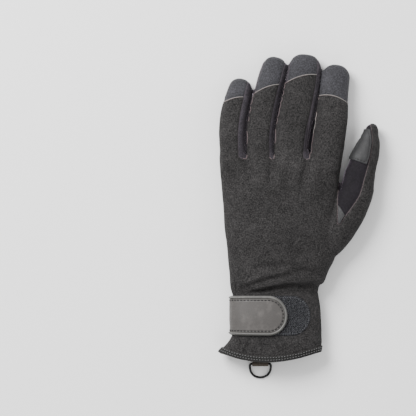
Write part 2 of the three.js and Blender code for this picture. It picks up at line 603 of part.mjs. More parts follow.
// Panels, all parts of one thin wall
const shell = gloveSurface(0).subtract(gloveSurface(-WALL));
place("back_panel", main(shell.intersect(backRoom(0))), NEOPRENE);
const backTaken = backRoom(SEAM_GAP);
const palmTaken = palmRoom(SEAM_GAP);
place("palm_panel", main(shell.intersect(palmRoom(0)).subtract(backTaken)), FABRIC);
const thumbFront = shell.intersect(thumbFrontRoom(0)).subtract(backTaken).subtract(palmTaken);
place("thumb_front", main(thumbFront), FABRIC);
FINGERS.forEach((finger, index) => {
  place("tip_cap_" + finger.name, main(shell.intersect(capRoom(finger))), CAP_FABRIC);
  const wall = shell.intersect(fingerRoom(index)).subtract(backTaken).subtract(palmTaken);
  place("side_wall_" + finger.name, main(wall.subtract(fingerTop(finger, SEAM_GAP))), FABRIC);
});

// Leather patches under the hand
const basePads = FINGERS.map(({ name, palm, base }) => {
  const [left, right] = palm.map((share) => THREE.MathUtils.clamp(share, -BASE_SIDES, BASE_SIDES));
  return prism(strip(shapes[name], -0.16, base, left, right, 0, -PAD_INSET), -FAR, PATCH_TOP);
});
const palmOutline = [...PALM_PATCH, ...PATCH_SIDES].map(plan);
const patchRoom = join([prism(palmOutline, -FAR, PATCH_TOP), ...basePads]);
place("palm_patch", main(layer(gloveSurface, SEAT, SEAT + PATCH_THICKNESS, patchRoom)), LEATHER);
FINGERS.forEach(({ name, pad, padFrom, padTip }) => {
  const shape = shapes[name];
  const outline = strip(shape, padFrom, stripEnd(shape, padTip), pad[0], pad[1], PAD_BOW);
  const room = prism(outline, -FAR, PATCH_TOP);
  const made = layer((grow) => digitTube(shape, grow), SEAT, SEAT + PATCH_THICKNESS, room);
  place("finger_pad_" + name, main(made), LEATHER);
});
const thumbPadRoom = prism(strip(thumb, THUMB_PAD.from, THUMB_PAD.to, -OPEN, THUMB_PAD.edge, 0, -PAD_INSET))
  .subtract(thumbBackRoom(PAD_INSET));
const thumbPad = layer((grow) => digitTube(thumb, grow), SEAT, SEAT + PATCH_THICKNESS, thumbPadRoom);
place("thumb_pad", main(thumbPad), LEATHER);

// Wrist closure over the cuff
const pileRoom = prism(strapOutline(PILE_REACH, 0), PILE_LOW);
place("pile_patch", main(layer(handTube, SEAT, SEAT + PILE_THICKNESS, pileRoom)), PILE);
const strapSeat = SEAT + PILE_THICKNESS + SEAT;
const strapRoom = prism(strapOutline(STRAP_REACH, BINDING_WIDTH + SEAT), SEAT);
place("wrist_strap", main(layer(handTube, strapSeat, strapSeat + STRAP_THICKNESS, strapRoom)), STRAP_LEATHER);
const strapCore = prism(strapOutline(STRAP_REACH, BINDING_WIDTH), 0);
const bindingRoom = prism(strapOutline(STRAP_REACH, 0), SEAT).subtract(strapCore);
const bindingTop = strapSeat + STRAP_THICKNESS + BINDING_RISE;
place("strap_binding", main(layer(handTube, strapSeat, bindingTop, bindingRoom)), BINDING);

// Tape over the back's hem
const hem = hemLine("back");
const tapeOutline = [...hem, ...hem.slice().reverse().map(([x, y]) => [x, y + HEM_BAND])];
const tapeRoom = prism(tapeOutline, SEAM_HEIGHT + SEAM_GAP);
place("hem_tape", main(layer(handTube, SEAT, SEAT + HEM_BAND_THICKNESS, tapeRoom)), HEM_TAPE);

// The tab and the ring in it, near the middle of the palm's hem
const tabX = TAB_ACROSS * KNUCKLE_WIDTH;
const tab = place("ring_tab", tabGeometry(), WEBBING);
tab.position.set(tabX - TAB_WIDTH / 2, BAR_Y, BAR_HEIGHT);
const ring = place("d_ring", ringGeometry(), BLACK_METAL);
ring.position.set(tabX, BAR_Y, BAR_HEIGHT);
ring.rotation.x = Math.asin((BAR_HEIGHT - RING_WIRE / 2) / RING_REACH);

// The origin is the middle of the glove's box, on the surface that it lies on
glove.updateMatrixWorld(true);
const box = new THREE.Box3().setFromObject(glove, true);
const middle = box.getCenter(new THREE.Vector3());
glove.position.set(-middle.x, -middle.y, -box.min.z);

export default glove;
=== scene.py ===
# %% [markdown]
# A left-hand glove for warm-water diving, dressed in Blender.
#
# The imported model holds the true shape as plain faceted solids. This script gives every one of those solids
# its look: soft foam rubber with folds, sewn seams, leather patches with stitches, a strap with a raised rim,
# and a wire ring. Read it from top to bottom: each step first says what the real piece is and why it is made
# the way it is.

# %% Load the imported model
import math

import bpy
import numpy as np
from mathutils import Matrix, Vector


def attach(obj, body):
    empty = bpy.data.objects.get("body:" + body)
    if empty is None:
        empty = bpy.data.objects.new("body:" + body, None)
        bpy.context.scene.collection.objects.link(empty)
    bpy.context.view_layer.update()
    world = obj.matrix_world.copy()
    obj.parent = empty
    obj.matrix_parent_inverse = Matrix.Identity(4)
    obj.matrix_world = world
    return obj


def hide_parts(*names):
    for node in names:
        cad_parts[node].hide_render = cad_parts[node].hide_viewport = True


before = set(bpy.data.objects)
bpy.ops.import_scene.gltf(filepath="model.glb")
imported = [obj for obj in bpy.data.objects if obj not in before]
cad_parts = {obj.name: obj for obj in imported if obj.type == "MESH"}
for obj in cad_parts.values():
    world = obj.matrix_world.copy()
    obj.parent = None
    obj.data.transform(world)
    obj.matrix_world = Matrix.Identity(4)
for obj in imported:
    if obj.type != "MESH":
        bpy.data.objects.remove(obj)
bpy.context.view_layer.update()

# %% [markdown]
# All sizes are in millimetres, in the plan frame in which the glove was drawn: X to the thumb, Y to the
# fingertips, Z up. The tables are the glove's pattern, the same that its solids were made from. Lengths in
# them are shares of the named sizes, so they're easy to compare with the real thing.

# %% Named sizes and the pattern's tables
HAND_LENGTH = 174.0
KNUCKLE_WIDTH = 101.0
HAND_DEPTH = 30.0
FINGER_DEPTH = 18.0
MIDDLE_LENGTH = 81.5
THUMB_LENGTH = 115.0
THUMB_WIDTH = 27.0
THUMB_DEPTH = 24.0
WALL = 1.5
PATCH_THICKNESS = 1.0
SEAM_HEIGHT = 7.0
SEAT = 0.3
STRAP_WIDTH = 33.0
STRAP_REACH = 47.0
STRAP_THICKNESS = 1.7
STRAP_HEIGHT = 38.0
BINDING_WIDTH = 2.6
BINDING_RISE = 0.5
PILE_REACH = 66.0
HEM_BAND = 4.5
RING_WIRE = 2.0
RING_WIDTH = 17.5
RING_REACH = 12.0
TAB_WIDTH = 13.5
TAB_WEBBING = 0.9
TAB_TONGUE = 8.0
TAB_NECK = 3.6
RING_CLEARANCE = 0.3
FLOOR_TO_PALM = PATCH_THICKNESS + SEAT
TO_RECORD = np.array([-15.417, -120.1788, 0.0])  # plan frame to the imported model's frame

HAND = np.array([  # along, ulnar, radial, top
    (-0.04, 0.6, 0.325, 0.76), (0.045, 0.504, 0.33, 0.78), (0.095, 0.428, 0.34, 0.78),
    (0.12, 0.402, 0.338, 0.76), (0.21, 0.386, 0.334, 0.75), (0.27, 0.388, 0.325, 0.75),
    (0.315, 0.394, 0.311, 0.76), (0.345, 0.41, 0.31, 0.8), (0.365, 0.414, 0.334, 0.86),
    (0.385, 0.416, 0.366, 0.91), (0.415, 0.42, 0.382, 0.95), (0.475, 0.43, 0.43, 1.0),
    (0.53, 0.44, 0.468, 1.04), (0.61, 0.454, 0.47, 1.07), (0.7, 0.466, 0.474, 1.06),
    (0.79, 0.479, 0.47, 1.03), (0.87, 0.491, 0.482, 0.98), (0.935, 0.501, 0.497, 0.9),
    (0.965, 0.506, 0.503, 0.82),
])
FOLDS = [  # from, to, deep, spread: the bulge over the wrist, and the soft fold above it
    ((0.36, 0.352), (-0.3, 0.33), 0.11, 0.1),
    ((0.42, 0.44), (-0.1, 0.425), 0.045, 0.13),
]
RISE = np.array([-0.2, 0.0, 0.2, 0.4, 0.6, 0.8, 1.0])
FINGER_LINES = {
    "little": (-0.386, -0.394, -0.398, -0.379, -0.34, -0.29, -0.25),
    "ring": (-0.16, -0.166, -0.167, -0.144, -0.108, -0.064, -0.014),
    "middle": (0.078, 0.087, 0.1, 0.133, 0.168, 0.196, 0.215),
    "index": (0.368, 0.386, 0.407, 0.426, 0.44, 0.458, 0.488),
}
ALONG = np.array([-0.22, 0.0, 0.2, 0.4, 0.6, 0.78, 1.0])
FINGER_WIDTHS = {
    "little": (0.2, 0.214, 0.216, 0.22, 0.216, 0.204, 0.184),
    "ring": (0.2, 0.214, 0.22, 0.22, 0.22, 0.216, 0.196),
    "middle": (0.26, 0.272, 0.286, 0.29, 0.286, 0.278, 0.254),
    "index": (0.24, 0.258, 0.262, 0.264, 0.244, 0.238, 0.222),
}
FINGER_DEEP = (1.08, 1.08, 1.03, 1.0, 0.97, 0.9, 0.8)
FINGER_LIFT = (0.2, 0.2, 0.2, 0.18, 0.12, 0.04, 0.0)
OPEN = 1.35  # reaches past the finger's side
FINGERS = {
    "little": dict(length=61.0, back=(-OPEN, 0.45), palm=(-OPEN, 0.72), cap=0.7, slant=0.4,
                   palm_tip=-0.6, pad=(-0.8, 0.68), base=0.36, pad_from=0.53, pad_tip=0.26),
    "ring": dict(length=79.0, back=(-OPEN, 0.7), palm=(-0.78, 0.52), cap=0.656, slant=0.6,
                 palm_tip=0.58, pad=(-0.74, 0.48), base=0.335, pad_from=0.6, pad_tip=0.68),
    "middle": dict(length=81.5, back=(-OPEN, 0.74), palm=(-0.78, 0.52), cap=0.738, slant=0.37,
                   palm_tip=0.38, pad=(-0.74, 0.48), base=0.34, pad_from=0.555, pad_tip=0.48),
    "index": dict(length=72.5, back=(-OPEN, OPEN), palm=(-0.8, OPEN), cap=0.597, slant=-0.18,
                  palm_tip=-0.6, pad=(-0.74, 0.55), base=0.35, pad_from=0.56, pad_tip=0.26),
}
PAD_BOW = 0.26
BASE_SIDES = 0.86
CAP_SEAM_BOW = 0.12
PAD_INSET = 0.8
THUMB_ROOT = (0.34, 0.523)
THUMB_LEAN = math.radians(21.1)
THUMB = np.array([  # along, side, wide, deep, seam
    (-0.05, -0.06, 0.36, 0.4, 1.4), (0.06, 0.004, 0.49, 0.48, 0.5), (0.17, 0.037, 0.545, 0.52, 0.1),
    (0.27, 0.06, 0.54, 0.52, -0.05), (0.36, 0.075, 0.535, 0.52, 0.02), (0.48, 0.079, 0.51, 0.5, 0.2),
    (0.6, 0.057, 0.485, 0.48, 0.32), (0.7, 0.048, 0.435, 0.46, 0.36), (0.79, 0.047, 0.38, 0.43, 0.26),
    (0.87, 0.04, 0.305, 0.38, 0.18), (0.92, 0.028, 0.225, 0.33, 0.05), (1.05, 0.004, 0.16, 0.26, -1.2),
])
HEM = np.array([  # across, back, palm
    (-0.75, 0.09, 0.1), (-0.504, 0.045, 0.055), (-0.33, 0.014, 0.028), (-0.1, 0.0, 0.016),
    (0.11, 0.014, 0.034), (0.332, 0.049, 0.073), (0.8, 0.09, 0.115),
])
CROTCH = 0.968 * HAND_LENGTH
HAND_EDGE = [(0.463, 0.656), (0.466, 0.77), (0.48, 0.842), (0.505, 0.9), (0.54, 0.95)]
THENAR = [(0.55, 0.43), (0.34, 0.5), (0.2, 0.56), (0.13, 0.62), (0.14, 0.7), (0.23, 0.757),
          (0.33, 0.788), (0.45, 0.81), (0.52, 0.905)]
THUMB_GAP_LINE = [(0.527, 0.962), (0.61, 1.105), (0.66, 1.6)]
PALM_PATCH = [(-0.43, 0.672), (0.092, 0.586), (0.155, 0.695), (0.2, 0.722), (0.249, 0.741),
              (0.344, 0.768), (0.45, 0.787), (0.47, 0.92), (0.46, 0.968), (-0.44, 0.968)]
STRAP_SIDE = -0.41 * KNUCKLE_WIDTH
TAB_X = -0.165 * KNUCKLE_WIDTH
PATCH_TOP = 6.0
WRAP_HEIGHTS = [  # mm past the crotch, height down to which a finger's back wraps over its side
    (0, 17.8), (16, 17.5), (32, 16.6), (48, 15.2), (64, 13.2), (80, 11.5),
]
INDEX_LEAN = 2.4  # how far the index finger's lower side leans to the middle finger
FAR = 9.0  # the distance given where no seam is near

# %% [markdown]
# A table gives a value at a few places. Between them the cloth runs in a smooth curve, so the reader is a
# Hermite spline: it passes through every row and has no corners, unlike straight interpolation.

# %% Reading a table smoothly


def spline(places, values, at):
    """Smooth curve through the table's rows, held at its ends."""
    places, values = np.asarray(places, float), np.asarray(values, float)
    at = np.clip(at, places[0], places[-1])
    slopes = np.gradient(values, places)
    i = np.clip(np.searchsorted(places, at, side="right") - 1, 0, len(places) - 2)
    width = places[i + 1] - places[i]
    t = (at - places[i]) / width
    a, b = values[i], values[i + 1]
    da, db = slopes[i] * width, slopes[i + 1] * width
    return a + t * (da + t * (3 * (b - a) - 2 * da - db + t * (2 * (a - b) + da + db)))


def plan(points):
    """Shares of the knuckles' width and the hand's length as millimetres."""
    return np.asarray(points, float) * (KNUCKLE_WIDTH, HAND_LENGTH)


def curve_through(points, steps=12):
    """A polyline made round: extra points on a smooth curve through it."""
    points = np.asarray(points, float)
    reach = np.concatenate([[0], np.cumsum(np.linalg.norm(np.diff(points, axis=0), axis=1))])
    spans = [np.linspace(a, b, steps, endpoint=False) for a, b in zip(reach, reach[1:])]
    at = np.concatenate(spans + [reach[-1:]])
    return np.stack([spline(reach, points[:, k], at) for k in range(points.shape[1])], axis=1)


# %% [markdown]
# Each digit is described by a middle line and half sizes at any share of its length. The hand is a tube of
# sections from the hem to the knuckles. Both give closed rings of points, and rings skinned together give
# a closed form, like plaster bands laid round a dowel.

# %% The digits' and the hand's shapes


class Digit:
    """Middle, direction and half sizes along one finger or the thumb."""

    def __init__(self, name):
        self.name = name
        if name == "thumb":
            self.length, self.cap = THUMB_LENGTH, 0.07 * THUMB_LENGTH
        else:
            self.length = FINGERS[name]["length"]
            self.cap = self.half(1.0)

    def half(self, along):
        if self.name == "thumb":
            return spline(THUMB[:, 0], THUMB[:, 2], along) * THUMB_WIDTH
        return spline(ALONG, FINGER_WIDTHS[self.name], along) * KNUCKLE_WIDTH / 2

    def deep(self, along):
        if self.name == "thumb":
            return spline(THUMB[:, 0], THUMB[:, 3], along) * THUMB_DEPTH
        return spline(ALONG, FINGER_DEEP, along) * FINGER_DEPTH / 2

    def spot(self, along):
        if self.name == "thumb":
            ahead = np.array([math.sin(THUMB_LEAN), math.cos(THUMB_LEAN)])
            side = spline(THUMB[:, 0], THUMB[:, 1], along) * THUMB_LENGTH
            return plan(THUMB_ROOT) + ahead * along * THUMB_LENGTH + np.array([ahead[1], -ahead[0]]) * side
        rise = along * self.length / MIDDLE_LENGTH
        x = spline(RISE, FINGER_LINES[self.name], rise) * KNUCKLE_WIDTH
        return np.array([x, HAND_LENGTH + np.clip(rise, RISE[0], RISE[-1]) * MIDDLE_LENGTH])

    def height(self, along):
        lift = 0.0 if self.name == "thumb" else spline(ALONG, FINGER_LIFT, along) * FINGER_DEPTH
        return FLOOR_TO_PALM + self.deep(along) + lift

    def at(self, along):
        """Middle, direction ahead and sideways in plan, half width."""
        inner = min(max(along, -0.2), 0.97)
        run = self.spot(inner + 0.02) - self.spot(inner - 0.02)
        run /= np.linalg.norm(run)
        return self.spot(along), run, np.array([run[1], -run[0]]), self.half(along)


def section(middle, sideways, left, right, up, down, sides):
    """One closed ring: a rounded box, squarer below than above."""
    turn = 2 * np.pi * (np.arange(sides) + 0.5) / sides
    c, s = np.cos(turn), np.sin(turn)
    power = np.where(s > 0, 2 / 2.3, 2 / 3.2)
    across = np.sign(c) * np.abs(c) ** power * np.where(c > 0, right, left)
    rise = np.sign(s) * np.abs(s) ** power * np.where(s > 0, up, down)
    ring = np.empty((sides, 3))
    ring[:, :2] = middle[:2] + across[:, None] * sideways
    ring[:, 2] = middle[2] + rise
    return ring


def fold_depth(x, y):
    """How far the folds at the wrist press the back down."""
    total = np.zeros_like(x)
    for start, end, deep, spread in FOLDS:
        a, b = plan(start), plan(end)
        run = b - a
        share = np.clip(((x - a[0]) * run[0] + (y - a[1]) * run[1]) / (run @ run), 0, 1)
        away = np.hypot(x - a[0] - run[0] * share, y - a[1] - run[1] * share) / (spread * HAND_DEPTH)
        total += deep * HAND_DEPTH * (1 - 0.7 * share) * np.exp(-away * away)
    return total


def hand_rings(steps=110, sides=120):
    last, rings = HAND[-1], []

    def ring(row, along, shrink):
        height = row[3] * HAND_DEPTH
        level = FLOOR_TO_PALM + 0.42 * (height - FLOOR_TO_PALM)
        up, down = (height - level) * shrink, (level - FLOOR_TO_PALM) * shrink
        middle = np.array([0, along * HAND_LENGTH, level])
        points = section(middle, np.array([1.0, 0.0]), row[1] * KNUCKLE_WIDTH, row[2] * KNUCKLE_WIDTH,
                         up, down * 1.06, sides)
        pressed = points[:, 2] - fold_depth(points[:, 0], points[:, 1])
        points[:, 2] = np.where(points[:, 2] > level, pressed, np.maximum(points[:, 2], level - down))
        return points

    for along in np.linspace(HAND[0, 0], last[0], steps):
        row = np.array([along] + [spline(HAND[:, 0], HAND[:, k], along) for k in (1, 2, 3)])
        rings.append(ring(row, along, 1))
    for degrees in (15, 30, 45, 58, 70, 80):
        turn = math.radians(degrees)
        rings.append(ring(last, last[0] + 0.03 * math.sin(turn), math.cos(turn)))
    return np.array(rings)


def digit_rings(digit, steps=60, sides=56):
    cap_start = 1 - digit.cap / digit.length
    first = -0.05 if digit.name == "thumb" else -0.22
    places = [(along, 0.0, 1.0) for along in np.linspace(first, cap_start, steps)]
    turns = np.radians(np.arange(8, 88, 8))
    places += [(cap_start, digit.cap * math.sin(t), math.cos(t) ** 0.9) for t in turns]
    rings = []
    for along, ahead, shrink in places:
        spot, run, sideways, half = digit.at(along)
        middle = np.array([*(spot + run * ahead), digit.height(along)])
        wide, deep = half * shrink, digit.deep(along) * shrink
        ring = section(middle, sideways, wide, wide, deep, deep, sides)
        if digit.name == "index":  # low down it leans against the middle finger
            low = np.clip((middle[2] - ring[:, 2]) / 3, 0, 1) * ((ring[:, :2] - middle[:2]) @ sideways < 0)
            ring[:, :2] -= sideways * (low * INDEX_LEAN * math.exp(-((along - 0.11) / 0.14) ** 2))[:, None]
        rings.append(ring)
    return np.array(rings)


def skin(rings):
    """Corner points and quads of a closed form skinned over its rings."""
    count, sides = rings.shape[:2]
    points = np.concatenate([rings.reshape(-1, 3), rings[0].mean(0)[None], rings[-1].mean(0)[None]])
    r, i = np.meshgrid(np.arange(count - 1), np.arange(sides), indexing="ij")
    a, b = r * sides + i, r * sides + (i + 1) % sides
    walls = np.stack([a, b, b + sides, a + sides], axis=-1).reshape(-1, 4).tolist()
    hub, top = count * sides, (count - 1) * sides
    ends = [[hub, (j + 1) % sides, j] for j in range(sides)]
    ends += [[hub + 1, top + j, top + (j + 1) % sides] for j in range(sides)]
    return points, walls + ends


digits = {name: Digit(name) for name in [*FINGERS, "thumb"]}
forms = [skin(hand_rings())] + [skin(digit_rings(digit)) for digit in digits.values()]
print("closed forms:", len(forms), "points:", sum(len(points) for points, _ in forms))

# %% [markdown]
# Hand and digits are separate forms that run into each other. A voxel remesh joins them in one even skin,
# and a few rounds of smoothing give the crotches between the fingers the small round fillets that cloth has.
# Smoothing alone would shrink the fingers, so every step forward is followed by a step back.

# %% One skin over hand and fingers


def mesh_of(points, faces, name):
    mesh = bpy.data.meshes.new(name)
    mesh.from_pydata([tuple(p) for p in np.asarray(points).tolist()], [], faces)
    mesh.update()
    return mesh


def evaluated(obj, name):
    """The object's mesh with its modifiers, and the object gone."""
    bpy.context.view_layer.update()
    graph = bpy.context.evaluated_depsgraph_get()
    mesh = bpy.data.meshes.new_from_object(obj.evaluated_get(graph), preserve_all_data_layers=True,
                                           depsgraph=graph)
    mesh.name = name
    source = obj.data
    bpy.data.objects.remove(obj)
    bpy.data.meshes.remove(source)
    return mesh


def numbers(collection, field, width, kind=np.float32):
    values = np.empty(len(collection) * width, kind)
    collection.foreach_get(field, values)
    return values.reshape(-1, width) if width > 1 else values


VOXEL = 1.25
points, faces, start = [], [], 0
for form_points, form_faces in forms:
    points.append(form_points)
    faces += [[start + i for i in face] for face in form_faces]
    start += len(form_points)
joined = bpy.data.objects.new("joined", mesh_of(np.concatenate(points), faces, "joined"))
bpy.context.collection.objects.link(joined)
remesh = joined.modifiers.new("one skin", "REMESH")
remesh.mode = "VOXEL"
remesh.voxel_size = VOXEL
skin_mesh = evaluated(joined, "skin")
skin_points = numbers(skin_mesh.vertices, "co", 3).astype(float)
quads = numbers(skin_mesh.polygons, "vertices", 4, np.int32)
skin_edges = numbers(skin_mesh.edges, "vertices", 2, np.int32)
bpy.data.meshes.remove(skin_mesh)


def smooth(points, edges, amounts):
    """Moves each point towards (or away from) its neighbours' mean."""
    points = points.copy()
    count = np.bincount(edges.ravel(), minlength=len(points))[:, None]
    for amount in amounts:
        total = np.zeros_like(points)
        for k in range(3):
            total[:, k] = np.bincount(edges[:, 0], points[edges[:, 1], k], len(points))
            total[:, k] += np.bincount(edges[:, 1], points[edges[:, 0], k], len(points))
        step = total / count - points
        points += step * (amount if np.isscalar(amount) else amount[:, None])
    return points


skin_points = smooth(skin_points, skin_edges, [0.5, -0.52] * 8)
knuckles = np.exp(-((skin_points[:, 1] - CROTCH - 1) / 9) ** 2) * 0.5
skin_points = smooth(skin_points, skin_edges, [knuckles] * 14)
print("skin:", len(skin_points), "points,", len(quads), "quads")

# %% [markdown]
# Cloth is cut along lines, so the next tools work on triangles: one finds normals, one splits triangles
# where finer detail is wanted, and one cuts along the zero line of any number field, as scissors do. A cut
# puts its new points exactly on the line, and both sides get the same points, so neighbouring panels meet
# without a gap.

# %% Tools that work on triangles


def unit(vectors):
    return vectors / np.maximum(np.linalg.norm(vectors, axis=-1, keepdims=True), 1e-12)


def normals(points, tri):
    a, b, c = points[tri[:, 0]], points[tri[:, 1]], points[tri[:, 2]]
    face = np.cross(b - a, c - a)
    count = len(points)
    axes = [sum(np.bincount(tri[:, j], face[:, k], count) for j in range(3)) for k in range(3)]
    return unit(np.stack(axes, 1))


def unique_edges(tri):
    """Each edge once, and for every triangle the places of its three edges."""
    pairs = np.sort(np.concatenate([tri[:, [0, 1]], tri[:, [1, 2]], tri[:, [2, 0]]]), axis=1)
    keys, back = np.unique(pairs[:, 0].astype(np.int64) * (1 << 32) + pairs[:, 1], return_inverse=True)
    return np.stack([keys >> 32, keys & 0xFFFFFFFF], 1).astype(np.int64), back.reshape(3, -1).T


def refine(cloth, wanted):
    """Splits edges longer than wanted(points), keeping the surface's curvature."""
    at, out, tri = cloth["at"], cloth["out"], cloth["tri"]
    edges, of_tri = unique_edges(tri)
    a, b = edges.T
    run = at[b] - at[a]
    split = np.linalg.norm(run, axis=1) > wanted((at[a] + at[b]) / 2)
    bow = (run * out[a]).sum(1)[:, None] * out[a] - (run * out[b]).sum(1)[:, None] * out[b]
    new = ((at[a] + at[b]) / 2 - bow / 8)[split]
    new_out = unit(out[a] + out[b])[split]
    place = np.full(len(edges), -1)
    place[split] = len(at) + np.arange(split.sum())
    mid = place[of_tri]
    cuts = (mid >= 0).sum(1)
    parts = [tri[cuts == 0]]
    for count in (1, 2, 3):
        t, m = tri[cuts == count], mid[cuts == count]
        if not len(t):
            continue
        if count == 3:
            (i, j, k), (p, q, r) = t.T, m.T
            parts += [np.stack(s, 1) for s in ((i, p, r), (p, j, q), (r, q, k), (p, q, r))]
            continue
        first = np.argmax(m >= 0, axis=1) if count == 1 else (np.argmin(m >= 0, axis=1) + 1) % 3
        turn = (first[:, None] + np.arange(3)) % 3
        (i, j, k) = np.take_along_axis(t, turn, 1).T
        (p, q, r) = np.take_along_axis(m, turn, 1).T
        if count == 1:
            parts += [np.stack((i, p, k), 1), np.stack((p, j, k), 1)]
        else:
            parts += [np.stack((p, j, q), 1), np.stack((i, p, q), 1), np.stack((i, q, k), 1)]
    return {
        "at": np.concatenate([at, new]),
        "out": np.concatenate([out, new_out]),
        "tri": np.concatenate(parts),
    }


def clip(cloth, values):
    """Keeps the part of the cloth where values are positive."""
    values = np.where(np.abs(values) < 1e-6, 1e-6, values)
    tri = cloth["tri"]
    inside = values[tri] > 0
    count = inside.sum(1)
    some = (count == 1) | (count == 2)
    edges, of_tri = unique_edges(tri[some])
    crossed = (values[edges[:, 0]] > 0) != (values[edges[:, 1]] > 0)
    place = np.full(len(edges), -1)
    place[crossed] = len(values) + np.arange(crossed.sum())
    tri_cut, inside_cut, count_cut, mid = tri[some], inside[some], count[some], place[of_tri]
    parts = [tri[count == 3]]
    for kept in (1, 2):
        t, m, i_s = tri_cut[count_cut == kept], mid[count_cut == kept], inside_cut[count_cut == kept]
        odd = np.argmax(i_s, axis=1) if kept == 1 else np.argmin(i_s, axis=1)
        turn = (odd[:, None] + np.arange(3)) % 3
        i, j, k = np.take_along_axis(t, turn, 1).T
        p, _, r = np.take_along_axis(m, turn, 1).T
        if kept == 1:
            parts.append(np.stack((i, p, r), 1))
        else:
            parts += [np.stack((p, j, k), 1), np.stack((p, k, r), 1)]
    tri = np.concatenate(parts)
    pair = edges[crossed]
    share = (values[pair[:, 0]] / (values[pair[:, 0]] - values[pair[:, 1]]))[:, None]
    new = {}
    for key, array in cloth.items():
        if key == "tri":
            continue
        s = share if array.ndim > 1 else share[:, 0]
        new[key] = np.concatenate([array, array[pair[:, 0]] + s * (array[pair[:, 1]] - array[pair[:, 0]])])
    used, tri = np.unique(tri, return_inverse=True)
    piece = {key: array[used] for key, array in new.items()}
    piece["out"] = unit(piece["out"])
    piece["tri"] = tri.reshape(-1, 3)
    return piece


def biggest(cloth):
    """Drops crumbs: only the largest connected part stays."""
    tri, label = cloth["tri"], np.arange(len(cloth["at"]))
    while True:
        low = label[tri].min(1)
        new = label.copy()
        for k in range(3):
            np.minimum.at(new, tri[:, k], low)
        new = new[new]
        if (new == label).all():
            break
        label = new
    names, count = np.unique(label[tri[:, 0]], return_counts=True)
    kept = tri[label[tri[:, 0]] == names[count.argmax()]]
    used, kept = np.unique(kept, return_inverse=True)
    piece = {key: array[used] for key, array in cloth.items() if key != "tri"}
    piece["tri"] = kept.reshape(-1, 3)
    return piece


def rim_edges(tri):
    """Directed edges that only one triangle has."""
    pairs = np.concatenate([tri[:, [0, 1]], tri[:, [1, 2]], tri[:, [2, 0]]])
    keys = np.sort(pairs, axis=1)
    keys = keys[:, 0].astype(np.int64) * (1 << 32) + keys[:, 1]
    _, first, count = np.unique(keys, return_index=True, return_counts=True)
    return pairs[first[count == 1]]


# %% [markdown]
# Where each panel lies is a distance in plan: positive inside its outline, negative outside. Two outlines
# join as the larger of both distances. Where fingers meet the hand the join is rounded, and that gives the
# small U at the bottom of each gap between two fingers.

# %% Outlines as distances


def inside(points, outline):
    """Distance to a closed outline in plan, positive inside it."""
    outline = np.asarray(outline, float)
    x, y = points[:, 0], points[:, 1]
    best, odd = np.full(len(points), 1e9), np.zeros(len(points), bool)
    for a, b in zip(outline, np.roll(outline, -1, axis=0)):
        run = b - a
        share = np.clip(((x - a[0]) * run[0] + (y - a[1]) * run[1]) / max(run @ run, 1e-12), 0, 1)
        best = np.minimum(best, (x - a[0] - run[0] * share) ** 2 + (y - a[1] - run[1] * share) ** 2)
        if a[1] != b[1]:
            crossing = ((a[1] > y) != (b[1] > y)) & (x < a[0] + (y - a[1]) * run[0] / run[1])
            odd ^= crossing
    return np.where(odd, 1.0, -1.0) * np.sqrt(best)


def away_from(points, line):
    """Distance in plan to a polyline, and the share of its length where it is nearest."""
    line = np.asarray(line, float)
    reach = np.concatenate([[0], np.cumsum(np.linalg.norm(np.diff(line, axis=0), axis=1))])
    best, where = np.full(len(points), 1e9), np.zeros(len(points))
    for k in range(len(line) - 1):
        run = line[k + 1] - line[k]
        share = np.clip(((points[:, :2] - line[k]) @ run) / max(run @ run, 1e-12), 0, 1)
        gap = np.linalg.norm(points[:, :2] - line[k] - share[:, None] * run, axis=1)
        near = gap < best
        best = np.where(near, gap, best)
        where = np.where(near, (reach[k] + share * (reach[k + 1] - reach[k])) / reach[-1], where)
    return best, where


def join(a, b, round_over=0.0):
    if not round_over:
        return np.maximum(a, b)
    h = np.maximum(round_over - np.abs(a - b), 0) / round_over
    return np.maximum(a, b) + h * h * round_over / 4


def strip(digit, start, end, left, right, bow=0.0, slant=0.0, inset=0.0):
    """Outline of a strip of a digit between two shares of its half width."""
    def lead(share):
        return (2 * bow * (1 - share * share) + slant * share) * digit.half(end)

    def side(share, sign):
        stop = end + lead(share) / digit.length
        rows = []
        for along in np.linspace(start, max(stop, start + 0.02), 26)[:-1]:
            spot, _, sideways, half = digit.at(along)
            rows.append(spot + sideways * (share * half - sign * inset))
        return rows

    spot, run, sideways, half = digit.at(end)
    across = np.linspace(right * half - inset, left * half + inset, 21)
    tip = [spot + sideways * x + run * (lead(x / half) - inset) for x in across]
    return np.array(side(right, 1) + tip + side(left, -1)[::-1])


def hem_line(side):
    column = 1 if side == "back" else 2
    across = np.linspace(HEM[0, 0], HEM[-1, 0], 60)
    return plan(np.stack([across, spline(HEM[:, 0], HEM[:, column], across)], 1))


def back_room(at):
    near, wrap_line = nearest_finger(at), np.array(WRAP_HEIGHTS)
    wrap_height = np.interp(at[:, 1] - CROTCH, wrap_line[:, 0], wrap_line[:, 1])
    edge = curve_through(plan(HAND_EDGE))
    side = 0.8 * KNUCKLE_WIDTH
    outline = [*hem_line("back"), (side, edge[0, 1]), *edge, (edge[-1, 0], CROTCH), (-side, CROTCH)]
    room = inside(at, outline)
    for name, finger in FINGERS.items():
        outline = strip(digits[name], -0.12, finger["cap"], *finger["back"], CAP_SEAM_BOW, finger["slant"])
        level = at[:, 2] - wrap_height if name != "little" else 99.0
        wrap = np.where(near[name] < 2.5, np.minimum(near[name] - 0.12, level), 99.0)
        room = join(room, np.minimum(inside(at, outline), wrap), 3.0)
    return join(np.minimum(room, at[:, 2] - SEAM_HEIGHT), thumb_back_room(at))


